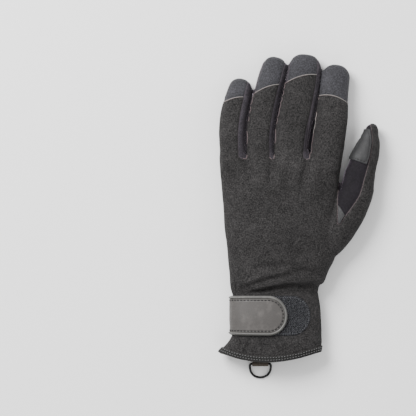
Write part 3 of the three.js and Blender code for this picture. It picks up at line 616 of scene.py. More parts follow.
def thumb_back_room(at):
    inner = []
    for along, seam in THUMB[:, [0, 4]]:
        spot, _, sideways, half = digits["thumb"].at(along)
        inner.append(spot + sideways * seam * half)
    root, side, end = digits["thumb"].spot(-0.05)[1], 1.2 * KNUCKLE_WIDTH, inner[-1][1] + HAND_DEPTH
    seam = curve_through(inner[1:])
    return inside(at, [(side, root), (inner[1][0], root), *seam, (seam[-1, 0], end), (side, end)])


def thumb_front_room(at):
    inner = curve_through(plan(THENAR + THUMB_GAP_LINE), 8)
    side = 1.2 * KNUCKLE_WIDTH
    return inside(at, [(side, inner[0, 1]), *inner, (side, inner[-1, 1])])


def strip_end(digit, tip):
    return 1 - ((tip + 2 * PAD_BOW) * digit.half(1.0)) / digit.length


def palm_room(at):
    side = 0.8 * KNUCKLE_WIDTH
    room = np.minimum(inside(at, [*hem_line("palm"), (side, CROTCH), (-side, CROTCH)]), -thumb_front_room(at))
    for name, finger in FINGERS.items():
        end = strip_end(digits[name], finger["palm_tip"])
        room = join(room, inside(at, strip(digits[name], -0.12, end, *finger["palm"], PAD_BOW)), 2.5)
    return np.minimum(room, SEAM_HEIGHT - at[:, 2])


def nearest_finger(at):
    """For each finger, how much nearer its side is than any other finger's."""
    gaps = []
    for name in FINGERS:
        digit = digits[name]
        rows = [digit.at(along) for along in np.linspace(-0.2, 1.0, 40)]
        line = np.array([row[0] for row in rows])
        half = np.array([row[3] for row in rows])
        gap, share = away_from(at, line)
        gaps.append(gap - spline(np.linspace(0, 1, 40), half, share))
    gaps = np.array(gaps)
    return {name: np.delete(gaps, i, 0).min(0) - gaps[i] for i, name in enumerate(FINGERS)}


CAP_LEFT = {"ring": -0.93, "middle": -0.93}  # the wall shows beside these caps on both sides


def cap_room(at, name):
    top = inside(at, strip(digits[name], 0, 1.3, CAP_LEFT.get(name, -OPEN), FINGERS[name]["back"][1]))
    return np.minimum(top, at[:, 2] - SEAM_HEIGHT)


print("back hem from", hem_line("back")[0].round(1), "to", hem_line("back")[-1].round(1))

# %% [markdown]
# Real foam rubber never lies quite flat. The photograph's folds are lines in plan: a sharp one where the
# hand bulges over the wrist, softer ones above it, dips that run down from the gaps between the fingers,
# and creases where the palm's fabric bunches. Each presses a smooth valley into the skin, and its edges
# rise a little, as pushed cloth does.

# %% Folds and creases
BACK_FOLDS = [  # points in mm, depth, half width
    ([(37, 62), (27, 63.2), (18, 63), (3, 62.3), (-8.5, 60.4), (-17, 58.2), (-26, 57.2)], 3.0, 1.5),
    ([(11, 72.6), (4, 71), (-10, 67.8), (-23, 63.8), (-33, 60)], 1.7, 1.9),
    ([(14, 80.5), (0, 79.4), (-12, 78.6), (-27, 76)], 1.2, 2.6),
    ([(38, 68), (29, 72.5), (18, 74.6), (8, 77)], 1.1, 2.2),
    ([(41, 76), (33, 83), (20, 88), (6, 90)], 0.7, 3.4),
    ([(-38, 72), (-28, 71), (-16, 73)], 0.7, 2.0),
    ([(-27.5, 172), (-26.5, 160), (-24, 148)], 2.2, 3.2),
    ([(-6.5, 172), (-7, 159), (-9, 146)], 2.6, 3.4),
    ([(23.5, 172), (22, 159), (18, 145)], 2.6, 3.4),
    ([(40, 150), (35, 138), (27, 126)], 0.9, 5.0),
    ([(-36.9, 68), (-36.6, 62), (-36.4, 56)], 0.7, 0.7),
    ([(-33.6, 22), (-33.2, 16), (-33, 9)], 1.0, 0.8),
    ([(-30, 4), (-27.5, 12), (-27, 20)], 1.1, 1.6),
    ([(-37, 7), (-34, 13), (-33, 19)], 0.5, 1.3),
    ([(28, 10), (24, 16), (22, 20)], 0.4, 1.8),
    ([(32, 58), (26, 55), (20, 57)], 0.4, 1.6),
    ([(58, 112), (63, 121), (68, 128)], 0.45, 2.4),
    ([(71, 139), (74, 143), (78, 146)], 0.35, 1.6),
    ([(73, 152), (77, 155), (80, 157)], 0.3, 1.5),
]
PALM_FOLDS = [
    ([(-41, 163), (-33, 160), (-26, 163)], 0.8, 1.2),
    ([(-22, 164), (-14, 161.5), (-6, 164)], 0.8, 1.2),
    ([(-2, 164), (9, 161), (20, 164)], 0.8, 1.3),
    ([(28, 163), (36, 160.5), (44, 163)], 0.7, 1.2),
    ([(-40, 117), (-26, 104), (-14, 96), (2, 92)], 0.7, 2.0),
    ([(-33, 92), (-22, 84), (-8, 80)], 0.6, 1.8),
    ([(10, 104), (20, 96), (28, 84)], 0.7, 2.2),
    ([(-36, 66), (-15, 62), (8, 64), (26, 68)], 0.9, 1.8),
    ([(-34, 58), (-12, 55), (10, 57)], 0.6, 1.5),
    ([(40, 128), (46, 122), (50, 113)], 0.7, 1.6),
    ([(46, 132), (52, 126), (57, 118)], 0.5, 1.4),
]
FINGER_JOINTS = {"little": (0.36, 0.62), "ring": (0.36, 0.63), "middle": (0.37, 0.64), "index": (0.36, 0.62)}
for name, joints in FINGER_JOINTS.items():
    for along in joints:
        for shift, depth in ((0.0, 0.35), (0.035, 0.22)):
            spot, run, sideways, half = digits[name].at(along + shift)
            bend = [spot + sideways * half * s + run * 0.8 * s * s for s in np.linspace(-1, 1, 7)]
            PALM_FOLDS.append((bend, depth, 0.9))


def ripples(at, size, seed, waves=14):
    """Gentle unevenness made of a few crossing waves."""
    dice = np.random.default_rng(seed)
    total = np.zeros(len(at))
    for _ in range(waves):
        way = unit(dice.normal(size=3))
        total += np.sin(at @ way * (2 * np.pi / (size * dice.uniform(0.7, 1.6))) + dice.uniform(0, 6.3))
    return total / waves ** 0.5


def crease_depth(at, folds):
    total = np.zeros(len(at))
    for line, depth, width in folds:
        line = curve_through(line, 6)
        gap, share = away_from(at, line)
        ends = np.clip(np.sin(np.pi * np.clip(share, 0.0, 1.0)), 0, 1) ** 0.6
        valley = np.exp(-(gap / width) ** 2)
        banks = 0.32 * np.exp(-((gap - 2.1 * width) / width) ** 2)
        total += depth * ends * (valley - banks)
    return total


def press(at):
    """How far the skin stands out of its smooth form, folds and unevenness together."""
    top = 1 / (1 + np.exp(-(at[:, 2] - SEAM_HEIGHT - 3) / 1.2))
    depth = top * crease_depth(at, BACK_FOLDS) + (1 - top) * crease_depth(at, PALM_FOLDS)
    fingers = 1 / (1 + np.exp(-(at[:, 1] - CROTCH - 6) / 5))
    soft = 0.16 * ripples(at, 26, 3) + 0.07 * ripples(at, 9, 5) * (1 - 0.4 * fingers)
    return soft - depth


# %% [markdown]
# The seams come next. Beside a seam the foam-rubber edge rounds off by about half a millimetre, and the
# thinner fabric on the other side starts lower. So each skin point learns how far it is from the seam and
# on which side, and triangles near seams are split until this shape shows.

# %% The skin with its seams
skin_tri = np.concatenate([quads[:, [0, 1, 2]], quads[:, [0, 2, 3]]]).astype(np.int64)
skin_start = {"at": skin_points, "out": normals(skin_points, skin_tri), "tri": skin_tri}
skin_cloth = skin_start


def seam_fields(at):
    fields = {"back": back_room(at), "palm": palm_room(at), "thumb": thumb_front_room(at)}
    fields["cap"] = np.max([cap_room(at, name) for name in FINGERS], axis=0)
    return fields


def near_seam(fields):
    palm = np.where(fields["back"] > 0, FAR, np.abs(fields["palm"]))
    rest = (fields["back"] < 0) & (fields["palm"] < 0)
    cap, thumb = (np.where(rest, np.abs(fields[name]), FAR) for name in ("cap", "thumb"))
    return np.minimum.reduce([np.abs(fields["back"]), palm, cap, thumb])


TOUCH_HEIGHT = 10.5  # where the skins of two touching fingers meet


def gap_between_fingers(at):
    """1 on the line where two fingers touch, falling to 0 beside it."""
    near = np.abs(np.array(list(nearest_finger(at).values()))).min(0)
    past_crotch = np.clip((at[:, 1] - CROTCH - 2) / 5, 0, 1)
    return np.exp(-(near / 0.75) ** 2) * past_crotch * 0.95


def wanted_near_seams(at):
    near = near_seam(seam_fields(at))
    near = np.minimum(near, np.where(gap_between_fingers(at) > 0.25, 1.5, FAR))
    return np.where(near < 1.2, 0.66, np.where(near < 2.4, 1.25, 3.0))


for _ in range(2):
    skin_cloth = refine(skin_cloth, wanted_near_seams)
fields = seam_fields(skin_cloth["at"])
smooth_at = skin_cloth["at"].copy()
out = skin_cloth["out"]
touch = gap_between_fingers(smooth_at)
folded = smooth_at + out * press(smooth_at)[:, None]
folded[:, 2] = np.maximum(folded[:, 2], FLOOR_TO_PALM - 0.25)
folded[:, 2] += touch * (TOUCH_HEIGHT + 0.4 * np.sign(out[:, 2]) - folded[:, 2])
on_back = fields["back"] > 0
seam = np.abs(fields["back"])
dip = 0.55 * np.where(on_back, np.exp(-seam / 0.8), np.exp(-(seam / 2.2) ** 2))
side = near_seam({**fields, "back": np.full(len(on_back), -FAR)})
dip += np.where(on_back, 0, 0.3 * np.exp(-(side / 0.8) ** 2))
sewn = folded - out * dip[:, None]
skin_cloth.update(at=sewn, smooth=smooth_at, seam=seam, side=side, **fields)
for name, value in nearest_finger(smooth_at).items():
    skin_cloth["near_" + name] = value
print("sewn skin:", len(sewn), "points,", len(skin_cloth["tri"]), "triangles")

# %% Cutting the panels
panels = {}
panels["back_panel"] = biggest(clip(skin_cloth, skin_cloth["back"]))
rest = clip(skin_cloth, -skin_cloth["back"])
panels["palm_panel"] = biggest(clip(rest, rest["palm"]))
rest = clip(rest, -rest["palm"])
hand_side = join(rest["thumb"], CROTCH - 1.5 - rest["smooth"][:, 1])
hand_side = np.minimum(hand_side, rest["smooth"][:, 1] - 0.4 * HAND_LENGTH)
panels["thumb_front"] = biggest(clip(rest, hand_side))
rest = clip(rest, -hand_side)
for name in FINGERS:
    finger = clip(rest, rest["near_" + name])
    room = cap_room(finger["smooth"], name)
    panels["tip_cap_" + name] = biggest(clip(finger, room))
    panels["side_wall_" + name] = biggest(clip(finger, -room))
print({name: len(cloth["tri"]) for name, cloth in panels.items()})

# %% [markdown]
# A finish is a small network of shader nodes. Effects that several finishes share are node groups, built
# once: a knitted face with heathered yarns, the pebbled grain of synthetic leather, and the light wear that
# handling leaves. A group gives out colours and heights only; the shader itself stays in the material,
# where its steady values are set.

# %% Tools for shader nodes


def put(tree, kind, values=None, **settings):
    node = tree.nodes.new(kind)
    for key, value in settings.items():
        setattr(node, key, value)
    for key, value in (values or {}).items():
        if isinstance(value, bpy.types.NodeSocket):
            tree.links.new(value, node.inputs[key])
        else:
            node.inputs[key].default_value = value
    return node


def calc(tree, operation, *values, clamp=False):
    node = put(tree, "ShaderNodeMath", dict(enumerate(values)), operation=operation, use_clamp=clamp)
    return node.outputs[0]


def blend_colours(tree, share, low, high, mode="MIX"):
    node = put(tree, "ShaderNodeMix", {0: share, 6: low, 7: high}, data_type="RGBA", blend_type=mode)
    return node.outputs[2]


def spread(tree, value, low, high, to_low=0.0, to_high=1.0):
    values = {0: value, 1: low, 2: high, 3: to_low, 4: to_high}
    return put(tree, "ShaderNodeMapRange", values).outputs[0]


def group(name, inputs, outputs):
    tree = bpy.data.node_groups.new(name, "ShaderNodeTree")
    for label, kind, value in inputs:
        socket = tree.interface.new_socket(label, in_out="INPUT", socket_type="NodeSocket" + kind)
        if value is not None:
            socket.default_value = value
    for label, kind in outputs:
        tree.interface.new_socket(label, in_out="OUTPUT", socket_type="NodeSocket" + kind)
    return tree, tree.nodes.new("NodeGroupInput").outputs, tree.nodes.new("NodeGroupOutput").inputs


def place_group(tree, which, values):
    return put(tree, "ShaderNodeGroup", values, node_tree=which).outputs


def in_mm(tree, vector, size=1.0):
    """A place in metres, counted in steps of so many millimetres."""
    node = put(tree, "ShaderNodeVectorMath", {0: vector, 1: (1000 / size,) * 3}, operation="MULTIPLY")
    return node.outputs[0]


def noise(tree, vector, scale, detail, roughness=0.5):
    values = {"Vector": vector, "Scale": scale, "Detail": detail, "Roughness": roughness}
    return put(tree, "ShaderNodeTexNoise", values).outputs


# %% Group: knitted face with heathered yarn
knit, give, take = group(
    "knitted face",
    [("Vector", "Vector", None), ("Ground", "Color", (0.03, 0.03, 0.03, 1)),
     ("Fleck", "Color", (0.1, 0.1, 0.1, 1)), ("Stitch", "Float", 0.8), ("Heather", "Float", 0.5),
     ("Patches", "Float", 0.2), ("Ribs", "Float", 0.5)],
    [("Color", "Color"), ("Height", "Float")],
)
scaled = in_mm(knit, give["Vector"])
x, y, z = put(knit, "ShaderNodeSeparateXYZ", {0: scaled}).outputs
pitch = calc(knit, "DIVIDE", 2 * math.pi, give["Stitch"])
wave_a = calc(knit, "SINE", calc(knit, "MULTIPLY", calc(knit, "MULTIPLY_ADD", z, 0.8, x), pitch))
wave_b = calc(knit, "SINE", calc(knit, "MULTIPLY", calc(knit, "MULTIPLY_ADD", z, -0.8, x), pitch))
courses = calc(knit, "SINE", calc(knit, "MULTIPLY", calc(knit, "MULTIPLY_ADD", z, 0.5, y), pitch))
wales = calc(knit, "MULTIPLY", calc(knit, "ADD", wave_a, wave_b), 0.5)
loops = calc(knit, "MULTIPLY", calc(knit, "MULTIPLY_ADD", courses, 0.5, 0.5), wales)
rows = calc(knit, "MULTIPLY_ADD", calc(knit, "SUBTRACT", wales, loops), give["Ribs"], loops)
fine = noise(knit, scaled, 2.1, 3.0, 0.7)[0]
yarn = noise(knit, scaled, 0.9, 2.0)[0]
broad = noise(knit, scaled, 0.035, 3.0)[0]
fleck = spread(knit, calc(knit, "MULTIPLY_ADD", yarn, 0.35, calc(knit, "MULTIPLY", fine, 0.65)), 0.42, 0.62)
fleck = calc(knit, "MULTIPLY", fleck, give["Heather"])
colour = blend_colours(knit, fleck, give["Ground"], give["Fleck"])
shade = calc(knit, "MULTIPLY_ADD", calc(knit, "SUBTRACT", broad, 0.5), give["Patches"], 1.0)
shade = calc(knit, "MULTIPLY", shade, calc(knit, "MULTIPLY_ADD", rows, 0.12, 1.0))
tone = put(knit, "ShaderNodeCombineColor", {0: shade, 1: shade, 2: shade}).outputs[0]
knit.links.new(blend_colours(knit, 1.0, colour, tone, "MULTIPLY"), take["Color"])
knit.links.new(calc(knit, "MULTIPLY_ADD", fine, 0.8, calc(knit, "MULTIPLY", rows, 0.5)), take["Height"])

# %% Group: pebbled grain of synthetic leather
grain, give, take = group(
    "leather grain",
    [("Vector", "Vector", None), ("Size", "Float", 0.8), ("Creases", "Float", 0.4)],
    [("Height", "Float"), ("Hollows", "Float")],
)
scaled = in_mm(grain, give["Vector"])
bend = noise(grain, scaled, 0.9, 2.0)["Color"]
bent = put(grain, "ShaderNodeVectorMath", {0: bend, 1: (0.7,) * 3, 2: scaled},
           operation="MULTIPLY_ADD").outputs[0]
cell = put(grain, "ShaderNodeTexVoronoi", {"Vector": bent, "Scale": calc(grain, "DIVIDE", 1.0, give["Size"])},
           feature="DISTANCE_TO_EDGE").outputs[0]
pebble = spread(grain, cell, 0.0, 0.22)
long_noise = noise(grain, scaled, 0.16, 4.0)[0]
line = calc(grain, "ABSOLUTE", calc(grain, "SUBTRACT", long_noise, 0.5))
line = calc(grain, "MULTIPLY", spread(grain, line, 0.0, 0.035, 1.0, 0.0), give["Creases"])
grain.links.new(calc(grain, "SUBTRACT", pebble, line), take["Height"])
grain.links.new(calc(grain, "SUBTRACT", 1.0, pebble), take["Hollows"])

# %% Group: wear from handling
wear, give, take = group(
    "handling wear",
    [("Vector", "Vector", None), ("Color", "Color", (0.5, 0.5, 0.5, 1)),
     ("Worn", "Color", (0.6, 0.6, 0.6, 1)), ("Edge distance", "Float", 5.0), ("Amount", "Float", 0.5)],
    [("Color", "Color"), ("Mask", "Float")],
)
scaled = in_mm(wear, give["Vector"])
cloud = noise(wear, scaled, 0.11, 6.0, 0.7)[0]
rub = spread(wear, cloud, 0.5, 0.72)
edge = spread(wear, give["Edge distance"], 0.0, 1.1, 1.0, 0.0)
ragged = calc(wear, "MULTIPLY", edge, spread(wear, cloud, 0.35, 0.6, 0.35, 1.0))
mask = calc(wear, "MULTIPLY", calc(wear, "MAXIMUM", rub, ragged), give["Amount"], clamp=True)
wear.links.new(blend_colours(wear, mask, give["Color"], give["Worn"]), take["Color"])
wear.links.new(mask, take["Mask"])
print("shader groups:", [g.name for g in bpy.data.node_groups])

# %% [markdown]
# Now the finishes. The back is a matt knit face on foam rubber, near black with paler yarns in it. The palm's
# fabric has a short brushed pile with a purple tone and some sheen. The fingers' side walls are the same fabric,
# but with paler colours: painted light, where the grazing light falls on them. Leather patches shine softly.
# Each panel's mesh carries its distance to the nearest seam, so that colour and relief can follow the edges.

# %% Finishes


def new_material(name, roughness, metallic=0.0, specular=0.4, **constants):
    material = bpy.data.materials.new(name)
    material.use_nodes = True
    tree = material.node_tree
    shader = next(n for n in tree.nodes if n.type == "BSDF_PRINCIPLED")
    shader.inputs["Roughness"].default_value = roughness
    shader.inputs["Metallic"].default_value = metallic
    shader.inputs["Specular IOR Level"].default_value = specular
    for key, value in constants.items():
        shader.inputs[key.replace("_", " ")].default_value = value
    coords = put(tree, "ShaderNodeTexCoord").outputs["Object"]
    return material, tree, shader, coords


def rgb(red, green, blue):
    """A colour as seen on a screen, 0 to 255, as the shader's linear values."""
    linear = [c / 255 / 12.92 if c <= 10 else ((c / 255 + 0.055) / 1.055) ** 2.4 for c in (red, green, blue)]
    return (*linear, 1.0)


def relief(tree, shader, height, strength, depth_mm):
    bump = put(tree, "ShaderNodeBump", {"Height": height, "Strength": strength, "Distance": depth_mm / 1000})
    tree.links.new(bump.outputs[0], shader.inputs["Normal"])


def distance(tree, name):
    return put(tree, "ShaderNodeAttribute", attribute_name=name).outputs["Fac"]


def knit_material(name, ground, fleck, stitch, heather, patches, ribs, depth, edge_colour, edge_share,
                  **shader_values):
    material, tree, shader, coords = new_material(name, **shader_values)
    face = place_group(tree, knit, {"Vector": coords, "Ground": ground, "Fleck": fleck, "Stitch": stitch,
                                    "Heather": heather, "Patches": patches, "Ribs": ribs})
    seam = distance(tree, "seam")
    edge = calc(tree, "MULTIPLY", spread(tree, seam, 0.15, 0.75, 1.0, 0.0), edge_share)
    colour = blend_colours(tree, edge, face["Color"], edge_colour)
    worn = place_group(tree, wear, {"Vector": coords, "Color": colour, "Worn": fleck, "Edge distance": seam,
                                    "Amount": 0.22})
    tree.links.new(worn["Color"], shader.inputs["Base Color"])
    relief(tree, shader, face["Height"], 0.7, depth)
    return material


def leather_material(name, ground, hollow, worn_colour, size, creases, depth, amount, edge_name,
                     **shader_values):
    material, tree, shader, coords = new_material(name, **shader_values)
    pebbles = place_group(tree, grain, {"Vector": coords, "Size": size, "Creases": creases})
    colour = blend_colours(tree, calc(tree, "MULTIPLY", pebbles["Hollows"], 0.45), ground, hollow)
    worn = place_group(tree, wear, {"Vector": coords, "Color": colour, "Worn": worn_colour,
                                    "Edge distance": distance(tree, edge_name), "Amount": amount})
    tree.links.new(worn["Color"], shader.inputs["Base Color"])
    rough = calc(tree, "MULTIPLY_ADD", pebbles["Hollows"], 0.2, shader_values["roughness"])
    tree.links.new(rough, shader.inputs["Roughness"])
    relief(tree, shader, pebbles["Height"], 0.6, depth)
    return material


def thread_material(name, colour, dark):
    material, tree, shader, coords = new_material(name, 0.6, specular=0.35)
    scaled = in_mm(tree, coords, 0.3)
    twist = put(tree, "ShaderNodeTexWave", {"Vector": scaled, "Scale": 0.35, "Distortion": 1.0},
                bands_direction="DIAGONAL").outputs["Fac"]
    tree.links.new(blend_colours(tree, twist, dark, colour), shader.inputs["Base Color"])
    relief(tree, shader, twist, 0.5, 0.1)
    return material


finishes = {
    "foam_rubber": knit_material(
        "foam rubber knit face", rgb(11, 11, 11), rgb(66, 64, 64), 0.62, 0.8, 0.8, 0.3, 0.22,
        rgb(60, 57, 56), 0.3, roughness=0.88, specular=0.12, Sheen_Weight=0.02, Sheen_Roughness=0.5),
    "palm_fabric": knit_material(
        "brushed palm fabric", rgb(15, 13, 16), rgb(42, 38, 44), 0.5, 0.55, 0.8, 0.1, 0.1,
        rgb(62, 55, 60), 0.3, roughness=0.8, specular=0.15, Sheen_Weight=0.9, Sheen_Roughness=0.22,
        Sheen_Tint=rgb(225, 205, 230)),
    # The fingers' side walls: the palm's fabric with paler colours, painted light for the grazing light on them.
    "side_fabric_painted_lighter": knit_material(
        "palm fabric painted lighter", rgb(27, 25, 28), rgb(72, 67, 74), 0.5, 0.55, 0.9, 0.1, 0.12,
        rgb(80, 72, 77), 0.35, roughness=0.75, specular=0.2, Sheen_Weight=0.9, Sheen_Roughness=0.2,
        Sheen_Tint=rgb(228, 216, 230)),
    "cap_fabric": knit_material(
        "ribbed cap fabric", rgb(22, 22, 24), rgb(72, 71, 77), 0.7, 0.65, 0.6, 0.9, 0.2,
        rgb(32, 31, 34), 0.3, roughness=0.68, specular=0.22, Sheen_Weight=0.04, Sheen_Roughness=0.5),
    "grip_leather": leather_material(
        "grip leather", rgb(37, 37, 38), rgb(18, 18, 19), rgb(70, 70, 72), 0.75, 0.5, 0.14, 0.35, "edge",
        roughness=0.42, specular=0.32),
    "strap_leather": leather_material(
        "strap leather", rgb(62, 59, 57), rgb(42, 40, 38), rgb(98, 94, 91), 0.55, 0.3, 0.07, 0.35, "edge",
        roughness=0.42, specular=0.5),
    "strap_binding": leather_material(
        "strap rim", rgb(82, 81, 79), rgb(52, 51, 50), rgb(126, 125, 122), 0.5, 0.4, 0.06, 0.35, "edge",
        roughness=0.4, specular=0.5),
    "hem_tape": knit_material(
        "hem tape", rgb(12, 12, 12), rgb(44, 43, 42), 0.45, 0.35, 0.2, 0.6, 0.08,
        rgb(54, 52, 51), 0.4, roughness=0.7, specular=0.2),
    "pile": knit_material(
        "pile ground", rgb(16, 16, 18), rgb(50, 51, 54), 0.6, 0.5, 0.3, 0.2, 0.2,
        rgb(50, 50, 52), 0.2, roughness=0.95, specular=0.2),
    "webbing": knit_material(
        "webbing weave", rgb(58, 52, 46), rgb(104, 96, 88), 0.9, 0.4, 0.3, 0.9, 0.25,
        rgb(80, 74, 66), 0.3, roughness=0.85, specular=0.3),
    "pile_yarn": thread_material("pile yarn", rgb(118, 119, 124), rgb(34, 34, 37)),
    "seam_thread": thread_material("seam thread", rgb(146, 142, 138), rgb(92, 88, 85)),
    "edge_thread": thread_material("edge thread", rgb(126, 110, 110), rgb(72, 61, 63)),
    "black_thread": thread_material("black thread", rgb(22, 22, 22), rgb(8, 8, 8)),
    "pale_thread": thread_material("pale thread", rgb(138, 138, 138), rgb(88, 88, 88)),
}
metal, tree, shader, coords = new_material("black coated wire", 0.25, metallic=0.85, specular=0.5)
scratch = noise(tree, in_mm(tree, coords), 1.6, 5.0)[0]
tree.links.new(blend_colours(tree, spread(tree, scratch, 0.55, 0.75), rgb(30, 30, 31), rgb(88, 88, 90)),
               shader.inputs["Base Color"])
tree.links.new(spread(tree, scratch, 0.3, 0.7, 0.18, 0.42), shader.inputs["Roughness"])
finishes["black_metal"] = metal
print("finishes:", sorted(finishes))

# %% [markdown]
# A panel is one surface until it gets its thickness: the inner face lies a wall's thickness inside, and a
# narrow rim closes the cut edge. Working along the skin's own normals keeps the rims of two neighbouring
# panels exactly side by side.

# %% From cloth to finished pieces
pieces = {}


def finished(name, points, faces, finish, marks=None, body="glove", node=None):
    """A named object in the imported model's frame, on its body."""
    mesh = mesh_of((np.asarray(points) + TO_RECORD) / 1000, np.asarray(faces).tolist(), name)
    mesh.polygons.foreach_set("use_smooth", np.ones(len(mesh.polygons), bool))
    for label, values in (marks or {}).items():
        mesh.attributes.new(label, "FLOAT", "POINT").data.foreach_set("value", values.astype(np.float32))
    mesh.materials.append(finishes[finish])
    return adopt(bpy.data.objects.new(name, mesh), body, node)


def adopt(obj, body="glove", node=None):
    if obj.name not in bpy.context.collection.objects:
        bpy.context.collection.objects.link(obj)
    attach(obj, body)
    if node:
        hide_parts(node)
    pieces[obj.name] = obj
    return obj


def closed(outer, inner, tri):
    """Outer and inner face of a sheet, joined by a rim round its edges."""
    count, rim = len(outer), rim_edges(tri)
    a, b = rim.T
    walls = np.concatenate([np.stack([b, a, a + count], 1), np.stack([b, a + count, b + count], 1)])
    return np.concatenate([outer, inner]), np.concatenate([tri, tri[:, ::-1] + count, walls])


for name, cloth in panels.items():
    slot = "cap_fabric" if name.startswith("tip_cap") else "palm_fabric"
    if name == "back_panel":
        slot = "foam_rubber"
    # Side walls take the paler copy of the palm fabric, painted light for the light falling on the fingers'
    # sides.
    finish = "side_fabric_painted_lighter" if name.startswith("side_wall") else slot
    inner = cloth["smooth"] - cloth["out"] * WALL
    inner[:, 2] = np.maximum(inner[:, 2], FLOOR_TO_PALM + WALL * 0.6)
    points, faces = closed(cloth["at"], inner, cloth["tri"])
    gap = np.minimum(cloth["seam"], np.where(cloth["back"] > 0, 99, cloth["side"]))
    marks = {"seam": np.concatenate([gap, np.full(len(inner), FAR)])}
    obj = finished(name + "_cloth", points, faces, finish, marks, node=name)
    print(name, len(obj.data.polygons), "triangles")

# %% [markdown]
# Patches, strap, pile and tape are sewn on top. Each is cut from the same smooth skin, split finely near its
# edge, then raised. The outer face follows a rounded profile of the distance to the edge, so a leather patch
# ends in a soft cut edge and the strap in a round rim. Stitch lines press a narrow groove into it.

# %% Pieces that lie on the skin


def crop(cloth, values, keep):
    tri = cloth["tri"][(values[cloth["tri"]] > keep).any(1)]
    used, tri = np.unique(tri, return_inverse=True)
    return {"at": cloth["at"][used], "out": cloth["out"][used], "tri": tri.reshape(-1, 3)}


def raised(room, low, top, fine=0.6, band=2.2, folds=1.0, coarse=1.6):
    """A sheet over the skin inside a room; low and top give its faces' heights from the edge distance."""
    cloth = crop(skin_start, room(skin_start["at"]), -4.0)
    for _ in range(3):
        cloth = refine(cloth, lambda at: np.where(np.abs(room(at) - band / 2) < band / 2 + 0.3, fine, coarse))
    cloth["smooth"] = cloth["at"].copy()
    soft = 0.16 * ripples(cloth["at"], 26, 3)
    lift = folds * press(cloth["at"]) + (1 - folds) * soft
    cloth["folded"] = cloth["at"] + cloth["out"] * lift[:, None]
    cloth["folded"][:, 2] = np.maximum(cloth["folded"][:, 2], FLOOR_TO_PALM)
    cloth["edge"] = room(cloth["at"])
    cloth = biggest(clip(cloth, cloth["edge"]))
    edge = np.maximum(cloth["edge"], 0)
    cloth["at"] = cloth["folded"] + cloth["out"] * np.broadcast_to(top(edge), edge.shape)[:, None]
    inner = cloth["folded"] + cloth["out"] * np.broadcast_to(low(edge), edge.shape)[:, None]
    cloth["at"][:, 2] = np.maximum(cloth["at"][:, 2], 0.02)
    inner[:, 2] = np.maximum(inner[:, 2], 0.0)
    return cloth, inner


def cut_edge(thickness, rounding, base=0.0, groove_at=None, groove=0.16):
    """Profile of a leather patch: thickness, rounded at the edge, with a groove for the stitches."""
    def top(edge):
        roll = np.sqrt(np.clip(1 - (1 - np.clip(edge / rounding, 0, 1)) ** 2, 0, 1))
        height = base + thickness * (0.45 + 0.55 * roll)
        if groove_at is not None:
            height = height - groove * np.exp(-((edge - groove_at) / 0.4) ** 2)
        return height
    return top


def lay(name, room, finish, low, top, node=None, **how):
    cloth, inner = raised(room, low, top, **how)
    points, faces = closed(cloth["at"], inner, cloth["tri"])
    from_edge = np.concatenate([cloth["edge"], np.full(len(inner), FAR)])
    obj = finished(name, points, faces, finish, {"edge": from_edge, "seam": from_edge}, node=node)
    print(name, len(obj.data.polygons), "triangles")
    return cloth


def base_pads(at):
    room = np.full(len(at), -50.0)
    for name, finger in FINGERS.items():
        left, right = np.clip(finger["palm"], -BASE_SIDES, BASE_SIDES)
        outline = strip(digits[name], -0.16, finger["base"], left, right, inset=PAD_INSET)
        room = join(room, inside(at, outline))
    return room


def palm_patch_room(at):
    corners = plan(PALM_PATCH)
    outline = [*corners[:2], *curve_through(corners[1:7], 8)[1:], *corners[7:]]
    low = np.where(at[:, 1] > CROTCH - 3, 4.2, PATCH_TOP)
    return np.minimum(join(inside(at, outline), base_pads(at), 2.0), low - at[:, 2])


def finger_pad_room(name):
    finger, digit = FINGERS[name], digits[name]
    end = strip_end(digit, finger["pad_tip"])
    outline = strip(digit, finger["pad_from"], end, *finger["pad"], PAD_BOW)
    return lambda at: np.minimum(inside(at, outline), PATCH_TOP - at[:, 2])


def thumb_pad_room(at):
    room = inside(at, strip(digits["thumb"], 0.7, 0.955, -OPEN, 0.3, inset=PAD_INSET))
    return np.minimum(room, -thumb_back_room(at) - PAD_INSET)


def sunk(edge):
    """Height of an inner face that lies just inside the skin, whatever the edge distance."""
    return np.full(edge.shape, -0.15)


leather_top = cut_edge(SEAT + PATCH_THICKNESS, 0.7, groove_at=1.5)
leather_rooms = {"palm_patch": palm_patch_room}
for name in FINGERS:
    leather_rooms["finger_pad_" + name] = finger_pad_room(name)
leather_rooms["thumb_pad"] = thumb_pad_room
laid = {}
for name, room in leather_rooms.items():
    laid[name] = lay(name + "_leather", room, "grip_leather", sunk, leather_top, node=name)
THUMB_ROOT_BIT = [(46.2, 131), (49.4, 127.5), (53.2, 121), (54, 116), (50, 111), (44, 111)]


def root_bit_room(at):
    room = np.minimum(inside(at, THUMB_ROOT_BIT), -back_room(at) - 0.45)
    return np.minimum(room, at[:, 2] - SEAM_HEIGHT)


laid["root_bit"] = lay("thumb_root_leather", root_bit_room, "grip_leather", sunk, cut_edge(0.7, 0.5))

# %% [markdown]
# The strap is soft leather with a raised, rounded rim of its own, closed over a patch of looped pile. The
# rim's profile is half a circle standing on the strap's height. The pile's ground is a thin sheet that the
# loops are planted on later.

# %% Strap, rim and pile ground


def strap_outline(reach, inset):
    half, bend = STRAP_WIDTH / 2, STRAP_WIDTH / 2 * 0.95
    centre = STRAP_SIDE + reach - bend
    turns = np.linspace(-0.5, 0.5, 41) * np.pi
    along, across = (centre + (bend - inset) * np.cos(turns), STRAP_HEIGHT + (half - inset) * np.sin(turns))
    arc = zip(along, across)
    back = STRAP_SIDE - HAND_DEPTH
    return [(back, STRAP_HEIGHT - half + inset), *arc, (back, STRAP_HEIGHT + half - inset)]


def strap_room(reach, inset, lowest):
    outline = strap_outline(reach, inset)
    return lambda at: np.minimum(inside(at, outline), at[:, 2] - lowest)


STRAP_BOTTOM = SEAT + 1.0 + SEAT
STRAP_LOWEST = 2.2  # the strap runs down the cuff's side to this height
strap_full = strap_room(STRAP_REACH, 0, -50.0)


